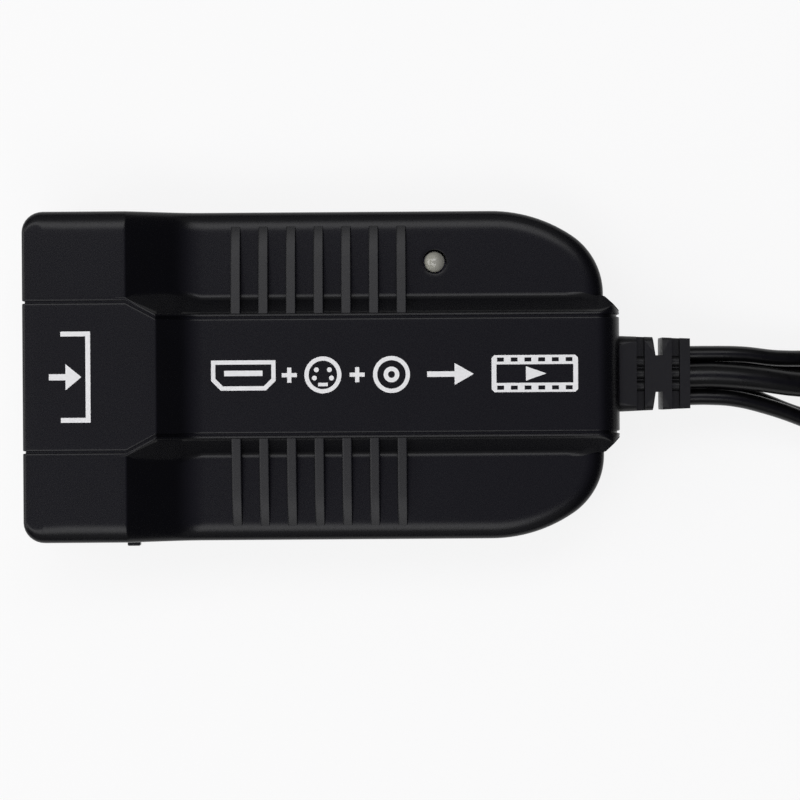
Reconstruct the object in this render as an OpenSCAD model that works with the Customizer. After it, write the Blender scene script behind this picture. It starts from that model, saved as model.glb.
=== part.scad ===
// Video capture box: a two-shell moulded housing round one circuit board, with a bundle of leads.
// Millimetres. The origin is the middle of the underside, +X runs to the lead end and +Z is up.

/* [Housing] */
// Overall length, from the input end to the nose
case_l = 87; // [82:1:100]
// Width across the two long sides
case_w = 48.2; // [46:0.1:56]
// Height of the raised input block
block_h = 20; // [18.5:0.5:24]
// Height of the two wings beside the spine
wing_h = 15; // [14.5:0.5:17]
// Length of the flat top of the raised block
block_l = 15; // [13:0.5:18]
// Slope of the ramp from the block down to the wings, in degrees
ramp_angle = 30; // [24:1:40]
// Wall thickness of both shells
wall = 1.8; // [1.5:0.1:2.2]
// Height of the parting line between the shells
seam_z = 9; // [8.6:0.1:9.6]
// Plan radius of the two corners at the input end
corner_r = 3; // [1.5:0.1:4]
// Radius along the long top edges and round the tail
edge_r = 2.2; // [1:0.1:3]
// Radius along the top edge of the input end
end_edge_r = 0.6; // [0.3:0.1:1.2]
// Radius along the bottom edges
base_edge_r = 1; // [0.5:0.1:1.6]

/* [Tail outline] */
// Radius of the first, wide arc of each tail corner
tail_r1 = 21.4; // [18:0.2:22.6]
// Angle that the wide arc turns through
tail_a1 = 34; // [25:1:40]
// Radius of the second, tight arc of each tail corner
tail_r2 = 10.4; // [9.6:0.1:11.4]
// Length of the nose beyond the wings
nose_l = 2.3; // [1.5:0.1:3]

/* [Spine] */
// Width of the spine where it meets the wings
spine_base_w = 23; // [21:0.1:23.4]
// Width of the flat top of the spine
spine_top_w = 18.3; // [16:0.1:19]
// Height of the spine above the wings
spine_h = 2.2; // [1.5:0.1:3]
// Radius of the top edge of the nose
nose_r = 3.5; // [2:0.1:4]
// Width of the trim groove
groove_w = 0.5; // [0.3:0.05:0.8]
// Depth of the trim groove
groove_d = 0.4; // [0.2:0.05:0.6]
// Distance from the edge of the spine's top to the middle of the groove
groove_inset = 0.45; // [0.4:0.05:0.8]

/* [Ribs] */
// Number of ribs on each wing
rib_count = 7; // [3:1:9]
// Width of one rib
rib_w = 1.5; // [1:0.1:2]
// Distance from rib to rib
rib_pitch = 4.04; // [3.4:0.02:4.4]
// Distance from the input end to the middle of the first rib
rib_start = 30.8; // [29:0.1:33]
// Distance from the long side to the outer end of a rib
rib_margin = 2; // [1.5:0.1:4]
// Height of a rib's outer end above the wing
rib_toe = 0.3; // [0.1:0.05:0.5]

/* [Status light] */
// Diameter of the round lamp
led_d = 3; // [3:0.5:4]
// Distance from the input end to the lamp
led_from_end = 59.9; // [58.5:0.1:62]
// Distance from the middle line to the lamp
led_y = 16.6; // [15:0.1:18]
// Height of the lamp's tip above the wing
led_proud = 0.25; // [0:0.05:0.6]
// Gap between the lamp and its hole
led_gap = 0.16; // [0.1:0.02:0.3]

/* [Source button] */
// Distance from the input end to the button
button_from_end = 15.1; // [15:0.1:18]
// Width and height of the button's face
button_w = 1.9; // [1.4:0.1:2.4]
// How far the button stands out of the long side
button_proud = 0.9; // [0.45:0.05:1]
// Travel of the button
button_travel = 0.35; // [0.2:0.05:0.4]
// Gap round the button in its hole
button_gap = 0.15; // [0.1:0.05:0.25]

/* [Input socket] */
// Inner width of the socket's mouth
hd_mouth_w = 14; // [13.6:0.1:14.4]
// Inner height of the socket's mouth
hd_mouth_h = 4.55; // [4.4:0.05:4.8]
// Sheet thickness of the socket's shell
hd_sheet = 0.4; // [0.3:0.05:0.5]
// Length of the socket
hd_l = 11.3; // [10.5:0.1:12.5]
// Gap between the socket and the housing
hd_gap = 0.25; // [0.15:0.05:0.4]

/* [Board and screws] */
// Height of the board's underside
board_z = 4.6; // [4.2:0.1:5]
// Thickness of the board
board_t = 1.6; // [1.2:0.2:1.6]
// Gap between the board and the walls
board_gap = 0.4; // [0.3:0.05:0.8]
// Distance from the nose to the end of the board
board_end = 10; // [8:0.5:12]
// Diameter of a screw's shank
screw_d = 1.9; // [1.7:0.1:2.3]
// Diameter of a screw's head
screw_head_d = 3.8; // [3.4:0.1:4.2]
// Distance from the input end to the first pair of screws
screw_from_end = 6.5; // [6:0.1:7]
// Distance from the nose to the second pair of screws
screw_from_nose = 17.5; // [16.5:0.1:19]
// Distance from the long sides to the screws at the input end
screw_side = 5.5; // [5:0.1:6.5]
// Distance from the long sides to the screws near the tail
screw_side_tail = 7; // [6.5:0.1:8]

/* [Strain relief] */
// Length of the strain relief outside the nose
relief_l = 10.5; // [9.5:0.1:12]
// Width of the strain relief at its root
relief_w = 11.2; // [9.8:0.1:11.5]
// Height of the strain relief at its root
relief_h = 8.4; // [8:0.1:9]
// How much narrower and lower its far end is
relief_taper = 0.9; // [0.2:0.1:1]
// Width of one flexing slot
relief_slot = 1.2; // [0.8:0.1:1.4]
// Width of the web left between the side notches
relief_web_w = 5.4; // [4.6:0.1:6.4]
// Height of the web left between the top and bottom slots
relief_web_h = 3.8; // [3.6:0.1:5]

/* [Leads] */
// Diameter of the data lead
data_lead_d = 3.8; // [3:0.1:4]
// Diameter of the S-video lead
svideo_lead_d = 2.8; // [2:0.1:3]
// Diameter of each phono lead
phono_lead_d = 2.4; // [2:0.1:2.6]

/* [Line sockets and plug] */
// Outside diameter of a phono socket's grip
phono_grip_d = 10; // [9:0.1:11]
// Length of a phono socket's grip
phono_grip_l = 22; // [18:0.5:26]
// Outside diameter of a phono socket's barrel
phono_barrel_d = 8.3; // [8.2:0.05:8.5]
// Length of a phono socket's barrel
phono_barrel_l = 9; // [7:0.5:11]
// Diameter of a phono socket's centre hole
phono_hole_d = 3.3; // [3.2:0.05:3.5]
// Outside diameter of the S-video socket's grip
svideo_grip_d = 13; // [12:0.1:14]
// Length of the S-video socket's grip
svideo_grip_l = 24; // [20:0.5:28]
// Inside diameter of the S-video socket's shield
svideo_shield_d = 9.5; // [9.3:0.05:9.8]
// Width of the data plug's grip
data_grip_w = 15.6; // [14.5:0.1:17]
// Thickness of the data plug's grip
data_grip_t = 8; // [7:0.1:9]
// Length of the data plug's grip
data_grip_l = 26; // [22:0.5:30]
// Width of the data plug's shell
data_shell_w = 12; // [11.9:0.05:12.1]
// Thickness of the data plug's shell
data_shell_t = 4.5; // [4.4:0.05:4.6]
// Length of the data plug's shell
data_shell_l = 12; // [11.5:0.1:12.5]

/* [Hidden] */
$fn = 48;

// A cut runs this far past the face that it opens
past = 1;
// Reach of a cutting body that only has to be longer than the part
far = 300;

// Ends of the housing, of its wings and of the ramp
x_left = -case_l / 2;
x_nose = case_l / 2;
x_wing = x_nose - nose_l;
x_crest = x_left + block_l;
x_foot = x_crest + (block_h - wing_h) / tan(ramp_angle);
half_w = case_w / 2;
inner_corner_r = 0.3;

// Centres of the two tangent arcs of each tail corner
tail_x1 = x_wing - tail_r2 - (tail_r1 - tail_r2) * sin(tail_a1);
tail_y1 = half_w - tail_r1;
tail_x2 = x_wing - tail_r2;
tail_y2 = tail_y1 + (tail_r1 - tail_r2) * cos(tail_a1);

// Flats along each arc, slices in each rounded edge, and the thickness of one slice
tail_steps1 = 6;
tail_steps2 = 10;
edge_steps = 4;
slice = 0.05;
// The wings start this far along, inside the block, and the tail starts inside the wings
x_lap = x_left + block_l / 2;
tail_lap = 4;
// The tail's edges are this much rounder, so that its flats stay inside the straight stretch's edges
tail_ease = 1.04;
// The ramp's edges are this much sharper than the block's, so that the two round edges cross in a clear line
ramp_ease = 0.92;
// The space in the block is this much narrower on each side than the space in the wings
block_step = 0.15;

// Spine and its groove
spine_z = wing_h + spine_h;
spine_base = spine_base_w / 2;
spine_top = spine_top_w / 2;
spine_side = spine_base - spine_top;
spine_foot = 0.8;
x_spine_crest = x_crest + spine_h / sin(ramp_angle);
x_spine_foot = x_foot + spine_h * tan(ramp_angle / 2);
groove_y = spine_top - groove_inset;
groove_block_y = spine_base - groove_inset;
groove_angle = atan2(spine_side, x_spine_crest - x_crest);

// Lip of the bottom shell in the rebate of the top shell
lip_t = 0.8;
lip_h = 1.2;
lip_gap = 0.15;

// Board, bosses and screws
board_top = board_z + board_t;
boss_r = 3;
post_r = 2.75;
post_sink = 0.5;
pilot_gap = 0.03;
shank_gap = 0.35;
head_gap = 0.25;
head_h = 1.6;
head_seat = 2.2;
pilot_depth = 6.4;
screw_tip = 0.6;
drive_w = 0.6;
drive_l = 2.2;
screw_places = [
    for (side = [-1, 1]) [x_left + screw_from_end, side * (half_w - screw_side), block_h],
    for (side = [-1, 1]) [x_nose - screw_from_nose, side * (half_w - screw_side_tail), wing_h]
];

// Input socket, standing on the board with its mouth just inside the wall's face
hd_w = hd_mouth_w + 2 * hd_sheet;
hd_h = hd_mouth_h + 2 * hd_sheet;
hd_z = board_top + hd_h / 2;
hd_set_back = 0.2;
hd_x = x_left + hd_set_back;
hd_corner = 0.4;
hd_cheek_h = 1.7;
hd_cheek_w = 1.7;
hd_back = 3;
hd_tongue_w = 11.6;
hd_tongue_t = 1.2;
hd_tongue_l = 7;
hd_tongue_rise = 0.35;
hd_contact_w = 0.4;
hd_contact_t = 0.12;
hd_contact_l = 5.6;
hd_contact_pitch = 1;
hd_contacts_top = 10;
hd_contacts_under = 9;

// Button, plunger and switch, in line on the parting line
button_x = x_left + button_from_end;
button_y = -half_w - button_proud;
button_flange_w = 3.4;
button_flange_t = 0.8;
button_seat_gap = 0.2;
button_flange_y = -half_w + wall + button_seat_gap;
plunger_r = 1.1;
plunger_gap = 0.2;
plunger_l = 2.2;
switch_w = 6;
switch_d = 4;
switch_h = 5;
switch_sheet = 0.3;
switch_rest = 0.35;
switch_gap = button_travel + switch_rest;
switch_y = button_flange_y + button_flange_t + switch_gap;
switch_well = plunger_l - switch_gap + button_travel + switch_rest;

// Lamp
led_r = led_d / 2;
led_x = x_left + led_from_end;
led_len = 5.3;
led_flange_lip = 0.4;
led_flange_r = led_r + led_flange_lip;
led_flange_t = 1;
led_base_z = wing_h + led_proud - led_len;
led_leg_w = 0.5;
led_leg_pitch = 2.54;
led_leg_below = 1;
led_leg_hole_r = 0.45;

// Strain relief: outer body, neck through the wall and flange behind it
relief_z = seam_z;
relief_corner = 1.6;
relief_neck_w = 9.4;
relief_neck_h = 6.4;
relief_neck_corner = 1;
relief_fit = 0.1;
relief_flange_w = 12;
relief_flange_h = 8;
relief_flange_t = 1.6;
relief_end_x = x_nose + relief_l;
relief_flange_x = x_nose - wall - relief_flange_t;
relief_top_slots = [3.2, 8.4];
relief_notch_x = 5.93;
relief_notch_w = 1.05;
relief_flare = 1.3;
relief_lump_count = 3;
relief_lump_pitch = 1.8;
relief_lump_r = 0.9;
relief_lump_rise = 0.5;

// Leads where they leave the strain relief, and the stubs that run from it to the board
lead_count = 5;
lead_end_pitch = 2.3;
lead_end_r = 0.9;
lead_end_l = 8;
lead_end_rest = 0.05;
joint_wire_r = 0.4;
joint_wire_l = 2;
joint_r = 0.9;
joint_h = 1.5;

// Routes of the leads from the strain relief to their plug or socket, chosen by hand
data_route = [
    [54, -0.3, 10.2], [58, -0.3, 10.2], [64, -0.8, 9.8], [70, -1.6, 8.8], [77, -2, 7], [85, -1.9, 4.8],
    [93, -1.6, 3.1], [102, -1.2, 2.1], [112, -0.8, 2], [124, -0.5, 2], [136, -0.4, 2], [148, -0.4, 2],
    [160, -0.4, 2], [172, -0.4, 2.2], [184, -0.3, 3.2], [192, -0.3, 3.9], [198, -0.3, 4]
];
svideo_route = [
    [54, 1.5, 6.7], [57, 1.5, 6.7], [62, 1.5, 6.1], [68, 1.2, 4.7], [74, 1.2, 3.2], [80, 1.6, 2.1],
    [87, 2.4, 1.6], [94, 3.3, 1.5], [102, 4.4, 1.5], [111, 5.6, 1.5], [121, 6.8, 1.5], [131, 7.8, 1.7],
    [140, 8.4, 2.7], [148, 8.6, 4.6], [155, 8.6, 6.2], [160, 8.6, 6.5]
];
video_route = [
    [54, 2.9, 9.2], [57, 2.9, 9.2], [62, 2.8, 8.9], [68, 2.2, 7.8], [74, 2.4, 6.1], [80, 3.8, 4.3],
    [87, 6.2, 2.7], [94, 9.2, 1.7], [102, 12.6, 1.3], [111, 16, 1.3], [121, 18.8, 1.3], [131, 20.4, 1.4],
    [140, 21, 2], [148, 21, 3.5], [155, 21, 4.8], [160, 21, 5]
];
left_audio_route = [
    [54, -1.5, 6.6], [57, -1.5, 6.6], [61, -2.3, 6.3], [66, -4.3, 5.4], [71, -6.2, 4.1], [77, -7.8, 2.6],
    [84, -8.9, 1.6], [92, -9.4, 1.3], [101, -9.5, 1.3], [111, -9.3, 1.3], [121, -9, 1.3], [131, -8.7, 1.4],
    [140, -8.6, 2], [148, -8.6, 3.5], [155, -8.6, 4.8], [160, -8.6, 5]
];
right_audio_route = [
    [54, -3.5, 9.1], [57, -3.5, 9.1], [61, -3.8, 8.8], [66, -5, 7.9], [71, -6.7, 6.7], [77, -9.2, 4.9],
    [84, -12.2, 3.1], [92, -15, 1.8], [101, -17, 1.3], [111, -18.6, 1.3], [121, -19.7, 1.3],
    [131, -20.4, 1.4], [140, -20.6, 2], [148, -20.6, 3.5], [155, -20.6, 4.8], [160, -20.6, 5]
];
lead_sides = 8;

// Phono line sockets
phono_neck_l = 9;
phono_neck_wall = 0.9;
phono_shoulder_l = 2.5;
phono_lip = 0.4;
phono_ring_w = 0.8;
phono_ring_d = 0.4;
phono_ring_pitch = 1.7;
phono_rings = 3;
phono_barrel_t = 0.6;
phono_collar_r = 0.3;
phono_collar_l = 1;
phono_recess = 0.6;

// S-video line socket
svideo_neck_l = 9;
svideo_shoulder_l = 3;
svideo_sheet = 0.3;
svideo_depth = 7;
svideo_shield_proud = 0.3;
svideo_insert_gap = 0.65;
svideo_insert_recess = 0.5;
svideo_pin_r = 0.6;
svideo_pin_depth = 4;
svideo_pins = [[1.9, 1.1], [-1.9, 1.1], [2.6, -1.2], [-2.6, -1.2]];
svideo_key_w = 2.2;
svideo_key_h = 1;
svideo_key_z = -2.6;

// Data plug
data_neck_l = 9;
data_neck_wall = 0.8;
data_neck_flare = 0.6;
data_grip_corner = 2.4;
data_grip_back = 3;
data_sheet = 0.35;
data_window = 2.2;
data_window_x = 6.4;
data_window_y = 2.6;
data_tongue_t = 1.9;
data_tongue_back = 0.5;
data_contact_w = 1.1;
data_contact_t = 0.15;
data_contact_l = 8;
data_contact_pitch = 2.3;
data_contacts = 4;

// Parts on the board, given by their middles on the board's top face
chip_body = [10, 10, 1.4];
chip_place = [4, 0];
chip_stand = 0.1;
chip_legs_a_side = 12;
chip_leg_pitch = 0.7;
chip_leg_w = 0.3;
chip_leg_l = 1;
chip_leg_t = 0.4;
decoder_body = [7, 7, 0.9];
decoder_place = [-14, 5];
memory_body = [5, 6, 1.6];
memory_place = [-13, -8];
crystal_l = 11;
crystal_w = 4.6;
crystal_h = 3.5;
crystal_base_t = 0.5;
crystal_lip = 0.4;
crystal_place = [6, 11 - half_w];
regulator_body = [6.5, 3.5, 1.6];
regulator_tab = [3, 1.8, 0.6];
regulator_place = [19, -2];
capacitor_r = 2;
capacitor_h = 5.2;
capacitor_base = 4.3;
capacitor_base_t = 0.8;
capacitor_places = [[16, 8], [21, 8], [-22, half_w - 12], [-22, -2]];
coil_w = 6;
coil_h = 3;
coil_core_r = 2;
coil_well = 0.6;
coil_place = [-3, half_w - 11];

// Place of one of a row of count pieces, the row's middle at zero
function spread(i, count, pitch) = (i - (count - 1) / 2) * pitch;

// Carries a profile drawn in Y and Z along X
module along_x(x0, x1) {
    translate([x0, 0, 0])
        rotate([90, 0, 90])
            linear_extrude(x1 - x0)
                children();
}

// Carries a profile drawn in X and Z along Y
module along_y(y0, y1) {
    translate([0, y1, 0])
        rotate([90, 0, 0])
            linear_extrude(y1 - y0)
                children();
}

// Turns a profile, drawn as distance along the axis and radius, about the X axis
module about_x() {
    rotate([0, 90, 0])
        rotate_extrude()
            mirror([1, -1, 0])
                children();
}

module rounded_rect(w, h, r) {
    square([w - 2 * r, h], center = true);
    square([w, h - 2 * r], center = true);
    for (sx = [-1, 1], sy = [-1, 1])
        translate([sx * (w / 2 - r), sy * (h / 2 - r)])
            circle(r);
}

// Points of one tail corner: along the wide arc, then round the tight one
function tail_points(inset) = concat(
    [
        for (i = [0 : tail_steps1])
            let (a = 90 - tail_a1 * i / tail_steps1)
                [tail_x1, tail_y1] + (tail_r1 - inset) * [cos(a), sin(a)]
    ],
    [
        for (i = [1 : tail_steps2])
            let (a = (90 - tail_a1) * (1 - i / tail_steps2))
                [tail_x2, tail_y2] + (tail_r2 - inset) * [cos(a), sin(a)]
    ]
);

// Wings in plan, from a square end at x0 to the flat end behind the nose
module wing_plan(inset, x0) {
    half = concat([[x0, half_w - inset]], tail_points(inset));
    n = len(half);
    polygon(concat(half, [for (i = [n - 1 : -1 : 0]) [half[i][0], -half[i][1]]]));
}

// Input end of the housing in plan, as far as the top of the ramp
module end_plan(inset) {
    r = max(corner_r - inset, inner_corner_r);
    x0 = x_left + inset;
    w = half_w - inset;
    translate([x0 + r, -w])
        square([x_crest - x0 - r, 2 * w]);
    translate([x0, -w + r])
        square([x_crest - x0, 2 * (w - r)]);
    for (side = [-1, 1])
        translate([x0 + r, side * (w - r)])
            circle(r);
}

// Nose in plan, with its 45 degree corners
module nose_plan(inset, x0) {
    k = sqrt(2) - 1;
    b = spine_base - inset;
    t = spine_base - nose_l - k * inset;
    polygon([
        [x0, b], [x_wing - k * inset, b], [x_nose - inset, t],
        [x_nose - inset, -t], [x_wing - k * inset, -b], [x0, -b]
    ]);
}

// Whole outline of the housing in plan
module case_plan(inset) {
    end_plan(inset);
    wing_plan(inset, x_lap);
    nose_plan(inset, tail_x2);
}

// Cross-section of a body with rounded top and bottom edges
module edge_section(w, z0, z1, r_top, r_bot) {
    translate([-w, z0 + r_bot])
        square([2 * w, z1 - z0 - r_top - r_bot]);
    translate([-w + r_top, z1 - r_top - past])
        square([2 * (w - r_top), r_top + past]);
    translate([-w + r_bot, z0])
        square([2 * (w - r_bot), r_bot + past]);
    for (side = [-1, 1]) {
        if (r_top > 0)
            translate([side * (w - r_top), z1 - r_top])
                circle(r_top);
        if (r_bot > 0)
            translate([side * (w - r_bot), z0 + r_bot])
                circle(r_bot);
    }
}

// Wings as a solid from x0: a straight stretch, then the tail with its edge rounded by thin slices
module wing_body(x0, z0, z1, r_top, r_bot) {
    top = r_top * tail_ease;
    bot = r_bot * tail_ease;
    along_x(x0, tail_x1)
        edge_section(half_w, z0, z1, r_top, r_bot);
    hull() {
        translate([0, 0, z0 + bot])
            linear_extrude(z1 - z0 - top - bot)
                wing_plan(0, tail_x1 - tail_lap);
        for (i = [1 : edge_steps]) {
            a = 90 * i / edge_steps;
            if (top > 0)
                translate([0, 0, z1 - top * (1 - sin(a)) - slice])
                    linear_extrude(slice)
                        wing_plan(top * (1 - cos(a)), tail_x1 - tail_lap);
            if (bot > 0)
                translate([0, 0, z0 + bot * (1 - sin(a))])
                    linear_extrude(slice)
                        wing_plan(bot * (1 - cos(a)), tail_x1 - tail_lap);
        }
    }
}

// Rounds the input end of a body: its plan corners, and its top or bottom edge
module end_limit(inset, z0, z1, r_top, r_bot) {
    x0 = x_left + inset;
    intersection() {
        translate([0, 0, z0])
            linear_extrude(z1 - z0)
                union() {
                    end_plan(inset);
                    translate([x_lap, -case_w])
                        square([far, 2 * case_w]);
                }
        along_y(-case_w, case_w)
            translate([x0 + far, 0])
                edge_section(far, z0, z1, r_top, r_bot);
    }
}

// Raised block with its ramp, edges rounded along both
module block_body(inset, w, z0, r_top) {
    shift = inset * tan(ramp_angle / 2);
    z1 = block_h - inset;
    intersection() {
        end_limit(inset, z0, z1, max(end_edge_r - inset, 0), 0);
        along_x(x_left, x_foot + past)
            edge_section(w, z0, z1, r_top, 0);
        translate([x_crest - shift, 0, z1])
            rotate([0, ramp_angle, 0])
                along_x(-far, far)
                    edge_section(w, -far, 0, r_top * ramp_ease, 0);
    }
}

// Ridge along the wings and up the ramp, cut level with the block
module spine_body(z0) {
    foot_spread = spine_foot * spine_side / spine_h;
    intersection() {
        along_x(x_foot - past, x_nose)
            polygon([
                [-spine_base, z0], [-spine_base, wing_h], [-spine_top, spine_z],
                [spine_top, spine_z], [spine_base, wing_h], [spine_base, z0]
            ]);
        along_y(-case_w, case_w)
            translate([x_nose - far, 0])
                edge_section(far, z0, spine_z, nose_r, 0);
        translate([0, 0, z0])
            linear_extrude(spine_z - z0)
                nose_plan(0, x_left);
    }
    intersection() {
        translate([x_foot, 0, wing_h])
            rotate([0, ramp_angle, 0])
                along_x(-far, spine_h)
                    polygon([
                        [-spine_base - foot_spread, -spine_foot], [-spine_top, spine_h],
                        [spine_top, spine_h], [spine_base + foot_spread, -spine_foot]
                    ]);
        translate([x_crest, -case_w, wing_h - wall])
            cube([case_l, 2 * case_w, block_h - wing_h + wall]);
    }
}

// Wedge ribs that lean from the spine's top edge to the outer part of each wing
module ribs() {
    reach = half_w - rib_margin;
    for (i = [0 : rib_count - 1], side = [0, 1]) {
        x = x_left + rib_start + i * rib_pitch;
        mirror([0, side, 0])
            along_x(x - rib_w / 2, x + rib_w / 2)
                polygon([
                    [spine_top - groove_inset, wing_h - wall / 2], [spine_top, spine_z - rib_toe / 2],
                    [reach, wing_h + rib_toe], [reach, wing_h - wall / 2]
                ]);
    }
}

// Cutter for the trim groove of one side, from the input end up to and down the nose
module groove_cut() {
    w = groove_w;
    x_bend = x_crest - groove_inset * tan(groove_angle / 2);
    run = norm([x_spine_crest - x_crest, spine_side]);
    slope_l = (block_h - spine_z) / sin(ramp_angle);
    translate([x_left - past, groove_block_y - w / 2, block_h - groove_d])
        cube([x_bend - x_left + past, w, past]);
    translate([x_bend, groove_block_y, block_h - groove_d])
        rotate([0, 0, -groove_angle])
            translate([0, -w / 2, 0])
                cube([run, w, past]);
    translate([x_spine_crest, groove_y - w / 2, block_h])
        rotate([0, ramp_angle, 0])
            translate([-groove_d, 0, -groove_d])
                cube([slope_l + groove_d, w, past]);
    translate([x_spine_foot - groove_d, groove_y - w / 2, spine_z - groove_d])
        cube([x_nose - nose_r - x_spine_foot + groove_d, w, past]);
    translate([x_nose - nose_r, groove_y - w / 2, spine_z - nose_r])
        rotate([-90, 0, 0])
            rotate([0, 0, -90])
                rotate_extrude(angle = 90)
                    translate([nose_r - groove_d, 0])
                        square([groove_d + past, w]);
    nose_groove(spine_z - nose_r);
    end_groove(block_h);
}

// Upright stretch of the groove on the nose, and the one on the input end
module nose_groove(z1) {
    translate([x_nose - groove_d, groove_y - groove_w / 2, -past])
        cube([groove_d + past, groove_w, z1 + past]);
}

module end_groove(z1) {
    translate([x_left - past, groove_block_y - groove_w / 2, -past])
        cube([groove_d + past, groove_w, z1 + past]);
}

// Openings on the parting line, shared by both shells
module port_cuts() {
    along_x(x_left - past, x_left + wall + past)
        translate([0, hd_z])
            rounded_rect(hd_w + 2 * hd_gap, hd_h + 2 * hd_gap, hd_corner);
    along_x(x_nose - wall - past, x_nose + past)
        translate([0, relief_z])
            rounded_rect(
                relief_neck_w + 2 * relief_fit, relief_neck_h + 2 * relief_fit, relief_neck_corner
            );
    along_y(-half_w - past, -half_w + wall + past)
        translate([button_x, seam_z])
            square(button_w + 2 * button_gap, center = true);
}

module top_shell() {
    color([0.13, 0.13, 0.145])
        difference() {
            union() {
                difference() {
                    union() {
                        wing_body(x_lap, seam_z, wing_h, edge_r, 0);
                        block_body(0, half_w, seam_z, edge_r);
                        spine_body(seam_z);
                        ribs();
                    }
                    for (side = [0, 1])
                        mirror([0, side, 0])
                            groove_cut();
                    top_hollow();
                }
                screw_posts();
            }
            for (place = screw_places)
                translate([place[0], place[1], board_top - past])
                    cylinder(r = screw_d / 2 + pilot_gap, h = pilot_depth + past);
            translate([led_x, led_y, wing_h - wall - past])
                cylinder(r = led_r + led_gap, h = wall + 2 * past);
            port_cuts();
        }
}

// Space inside the top shell, with the rebate that takes the bottom shell's lip
module top_hollow() {
    z0 = seam_z - past;
    translate([0, 0, z0])
        linear_extrude(wing_h - wall - z0)
            wing_plan(wall, x_lap);
    block_body(wall, half_w - wall - block_step, z0, 0);
    along_x(x_spine_foot, x_nose - nose_r - wall)
        translate([-spine_top + wall, z0])
            square([spine_top_w - 2 * wall, spine_z - wall - z0]);
    translate([0, 0, z0])
        linear_extrude(wing_h - wall - z0)
            nose_plan(wall, tail_x2);
    translate([0, 0, z0])
        linear_extrude(past + lip_h + lip_gap)
            case_plan(wall - lip_t - lip_gap);
}

module screw_posts() {
    for (place = screw_places)
        translate([place[0], place[1], board_top])
            cylinder(r = post_r, h = place[2] - wall + post_sink - board_top);
}

module bottom_shell() {
    color([0.12, 0.12, 0.135])
        difference() {
            union() {
                difference() {
                    union() {
                        intersection() {
                            wing_body(x_left, 0, seam_z, 0, base_edge_r);
                            end_limit(0, 0, seam_z, 0, base_edge_r);
                        }
                        linear_extrude(seam_z)
                            nose_plan(0, tail_x2);
                    }
                    translate([0, 0, wall])
                        linear_extrude(seam_z)
                            case_plan(wall);
                    for (side = [0, 1])
                        mirror([0, side, 0]) {
                            nose_groove(seam_z + past);
                            end_groove(seam_z + past);
                        }
                }
                translate([0, 0, seam_z - lip_t])
                    linear_extrude(lip_h + lip_t)
                        difference() {
                            case_plan(wall - lip_t);
                            case_plan(wall);
                        }
                for (place = screw_places)
                    translate([place[0], place[1], wall / 2])
                        cylinder(r = boss_r, h = board_z - wall / 2);
            }
            for (place = screw_places)
                translate([place[0], place[1], -past]) {
                    cylinder(r = screw_d / 2 + shank_gap, h = board_z + 2 * past);
                    cylinder(r = screw_head_d / 2 + head_gap, h = head_seat + past);
                }
            port_cuts();
        }
}

module case_screws() {
    tip_z = board_top + pilot_depth - screw_tip;
    color("silver")
        for (place = screw_places)
            translate([place[0], place[1], 0])
                difference() {
                    union() {
                        translate([0, 0, head_seat - head_h])
                            cylinder(r = screw_head_d / 2, h = head_h);
                        translate([0, 0, head_seat - past])
                            cylinder(r = screw_d / 2, h = tip_z - head_seat + past);
                    }
                    for (turn = [0, 90])
                        translate([0, 0, head_seat - head_h])
                            rotate([0, 0, turn])
                                cube([drive_l, drive_w, head_h], center = true);
                }
}

module main_board() {
    color("darkgreen")
        difference() {
            translate([0, 0, board_z])
                linear_extrude(board_t)
                    intersection() {
                        wing_plan(wall + board_gap, x_left + wall + board_gap);
                        translate([x_left, -half_w])
                            square([case_l - board_end, case_w]);
                    }
            for (place = screw_places)
                translate([place[0], place[1], board_z - past])
                    cylinder(r = screw_d / 2 + shank_gap, h = board_t + 2 * past);
            for (side = [-1, 1])
                translate([led_x + side * led_leg_pitch / 2, led_y, board_z - past])
                    cylinder(r = led_leg_hole_r, h = board_t + 2 * past);
        }
}

// Sets a part on the board's top face, measured from the middle of the housing
module on_board(place) {
    translate([place[0], place[1], board_top])
        children();
}

module block_on_board(size) {
    translate([-size[0] / 2, -size[1] / 2, 0])
        cube(size);
}

module capture_chip() {
    color([0.1, 0.1, 0.1])
        on_board(chip_place)
            translate([0, 0, chip_stand])
                block_on_board(chip_body);
}

// Legs of the capture chip, each standing on the board and meeting the chip's side
module chip_legs() {
    color("silver")
        on_board(chip_place)
            for (turn = [0 : 90 : 270], i = [0 : chip_legs_a_side - 1])
                rotate([0, 0, turn])
                    translate([chip_body[0] / 2, spread(i, chip_legs_a_side, chip_leg_pitch), 0])
                        translate([0, -chip_leg_w / 2, 0])
                            cube([chip_leg_l, chip_leg_w, chip_leg_t]);
}

module decoder_chip() {
    color([0.1, 0.1, 0.1])
        on_board(decoder_place)
            block_on_board(decoder_body);
}

module memory_chip() {
    color([0.1, 0.1, 0.1])
        on_board(memory_place)
            block_on_board(memory_body);
}

module can_plan(l, w) {
    square([l - w, w], center = true);
    for (side = [-1, 1])
        translate([side * (l - w) / 2, 0])
            circle(w / 2);
}

module crystal_can() {
    color("silver")
        on_board(crystal_place) {
            linear_extrude(crystal_base_t)
                can_plan(crystal_l + crystal_lip, crystal_w + crystal_lip);
            linear_extrude(crystal_h)
                can_plan(crystal_l, crystal_w);
        }
}

module voltage_regulator() {
    color([0.1, 0.1, 0.1])
        on_board(regulator_place) {
            block_on_board(regulator_body);
            translate([0, regulator_body[1] / 2, 0])
                block_on_board(regulator_tab);
        }
}

module filter_capacitors() {
    color("silver")
        for (place = capacitor_places)
            on_board(place) {
                block_on_board([capacitor_base, capacitor_base, capacitor_base_t]);
                cylinder(r = capacitor_r, h = capacitor_h);
            }
}

module supply_coil() {
    color([0.2, 0.2, 0.2])
        on_board(coil_place)
            difference() {
                block_on_board([coil_w, coil_w, coil_h]);
                translate([0, 0, coil_h - coil_well])
                    cylinder(r = coil_core_r, h = past);
            }
}

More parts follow.
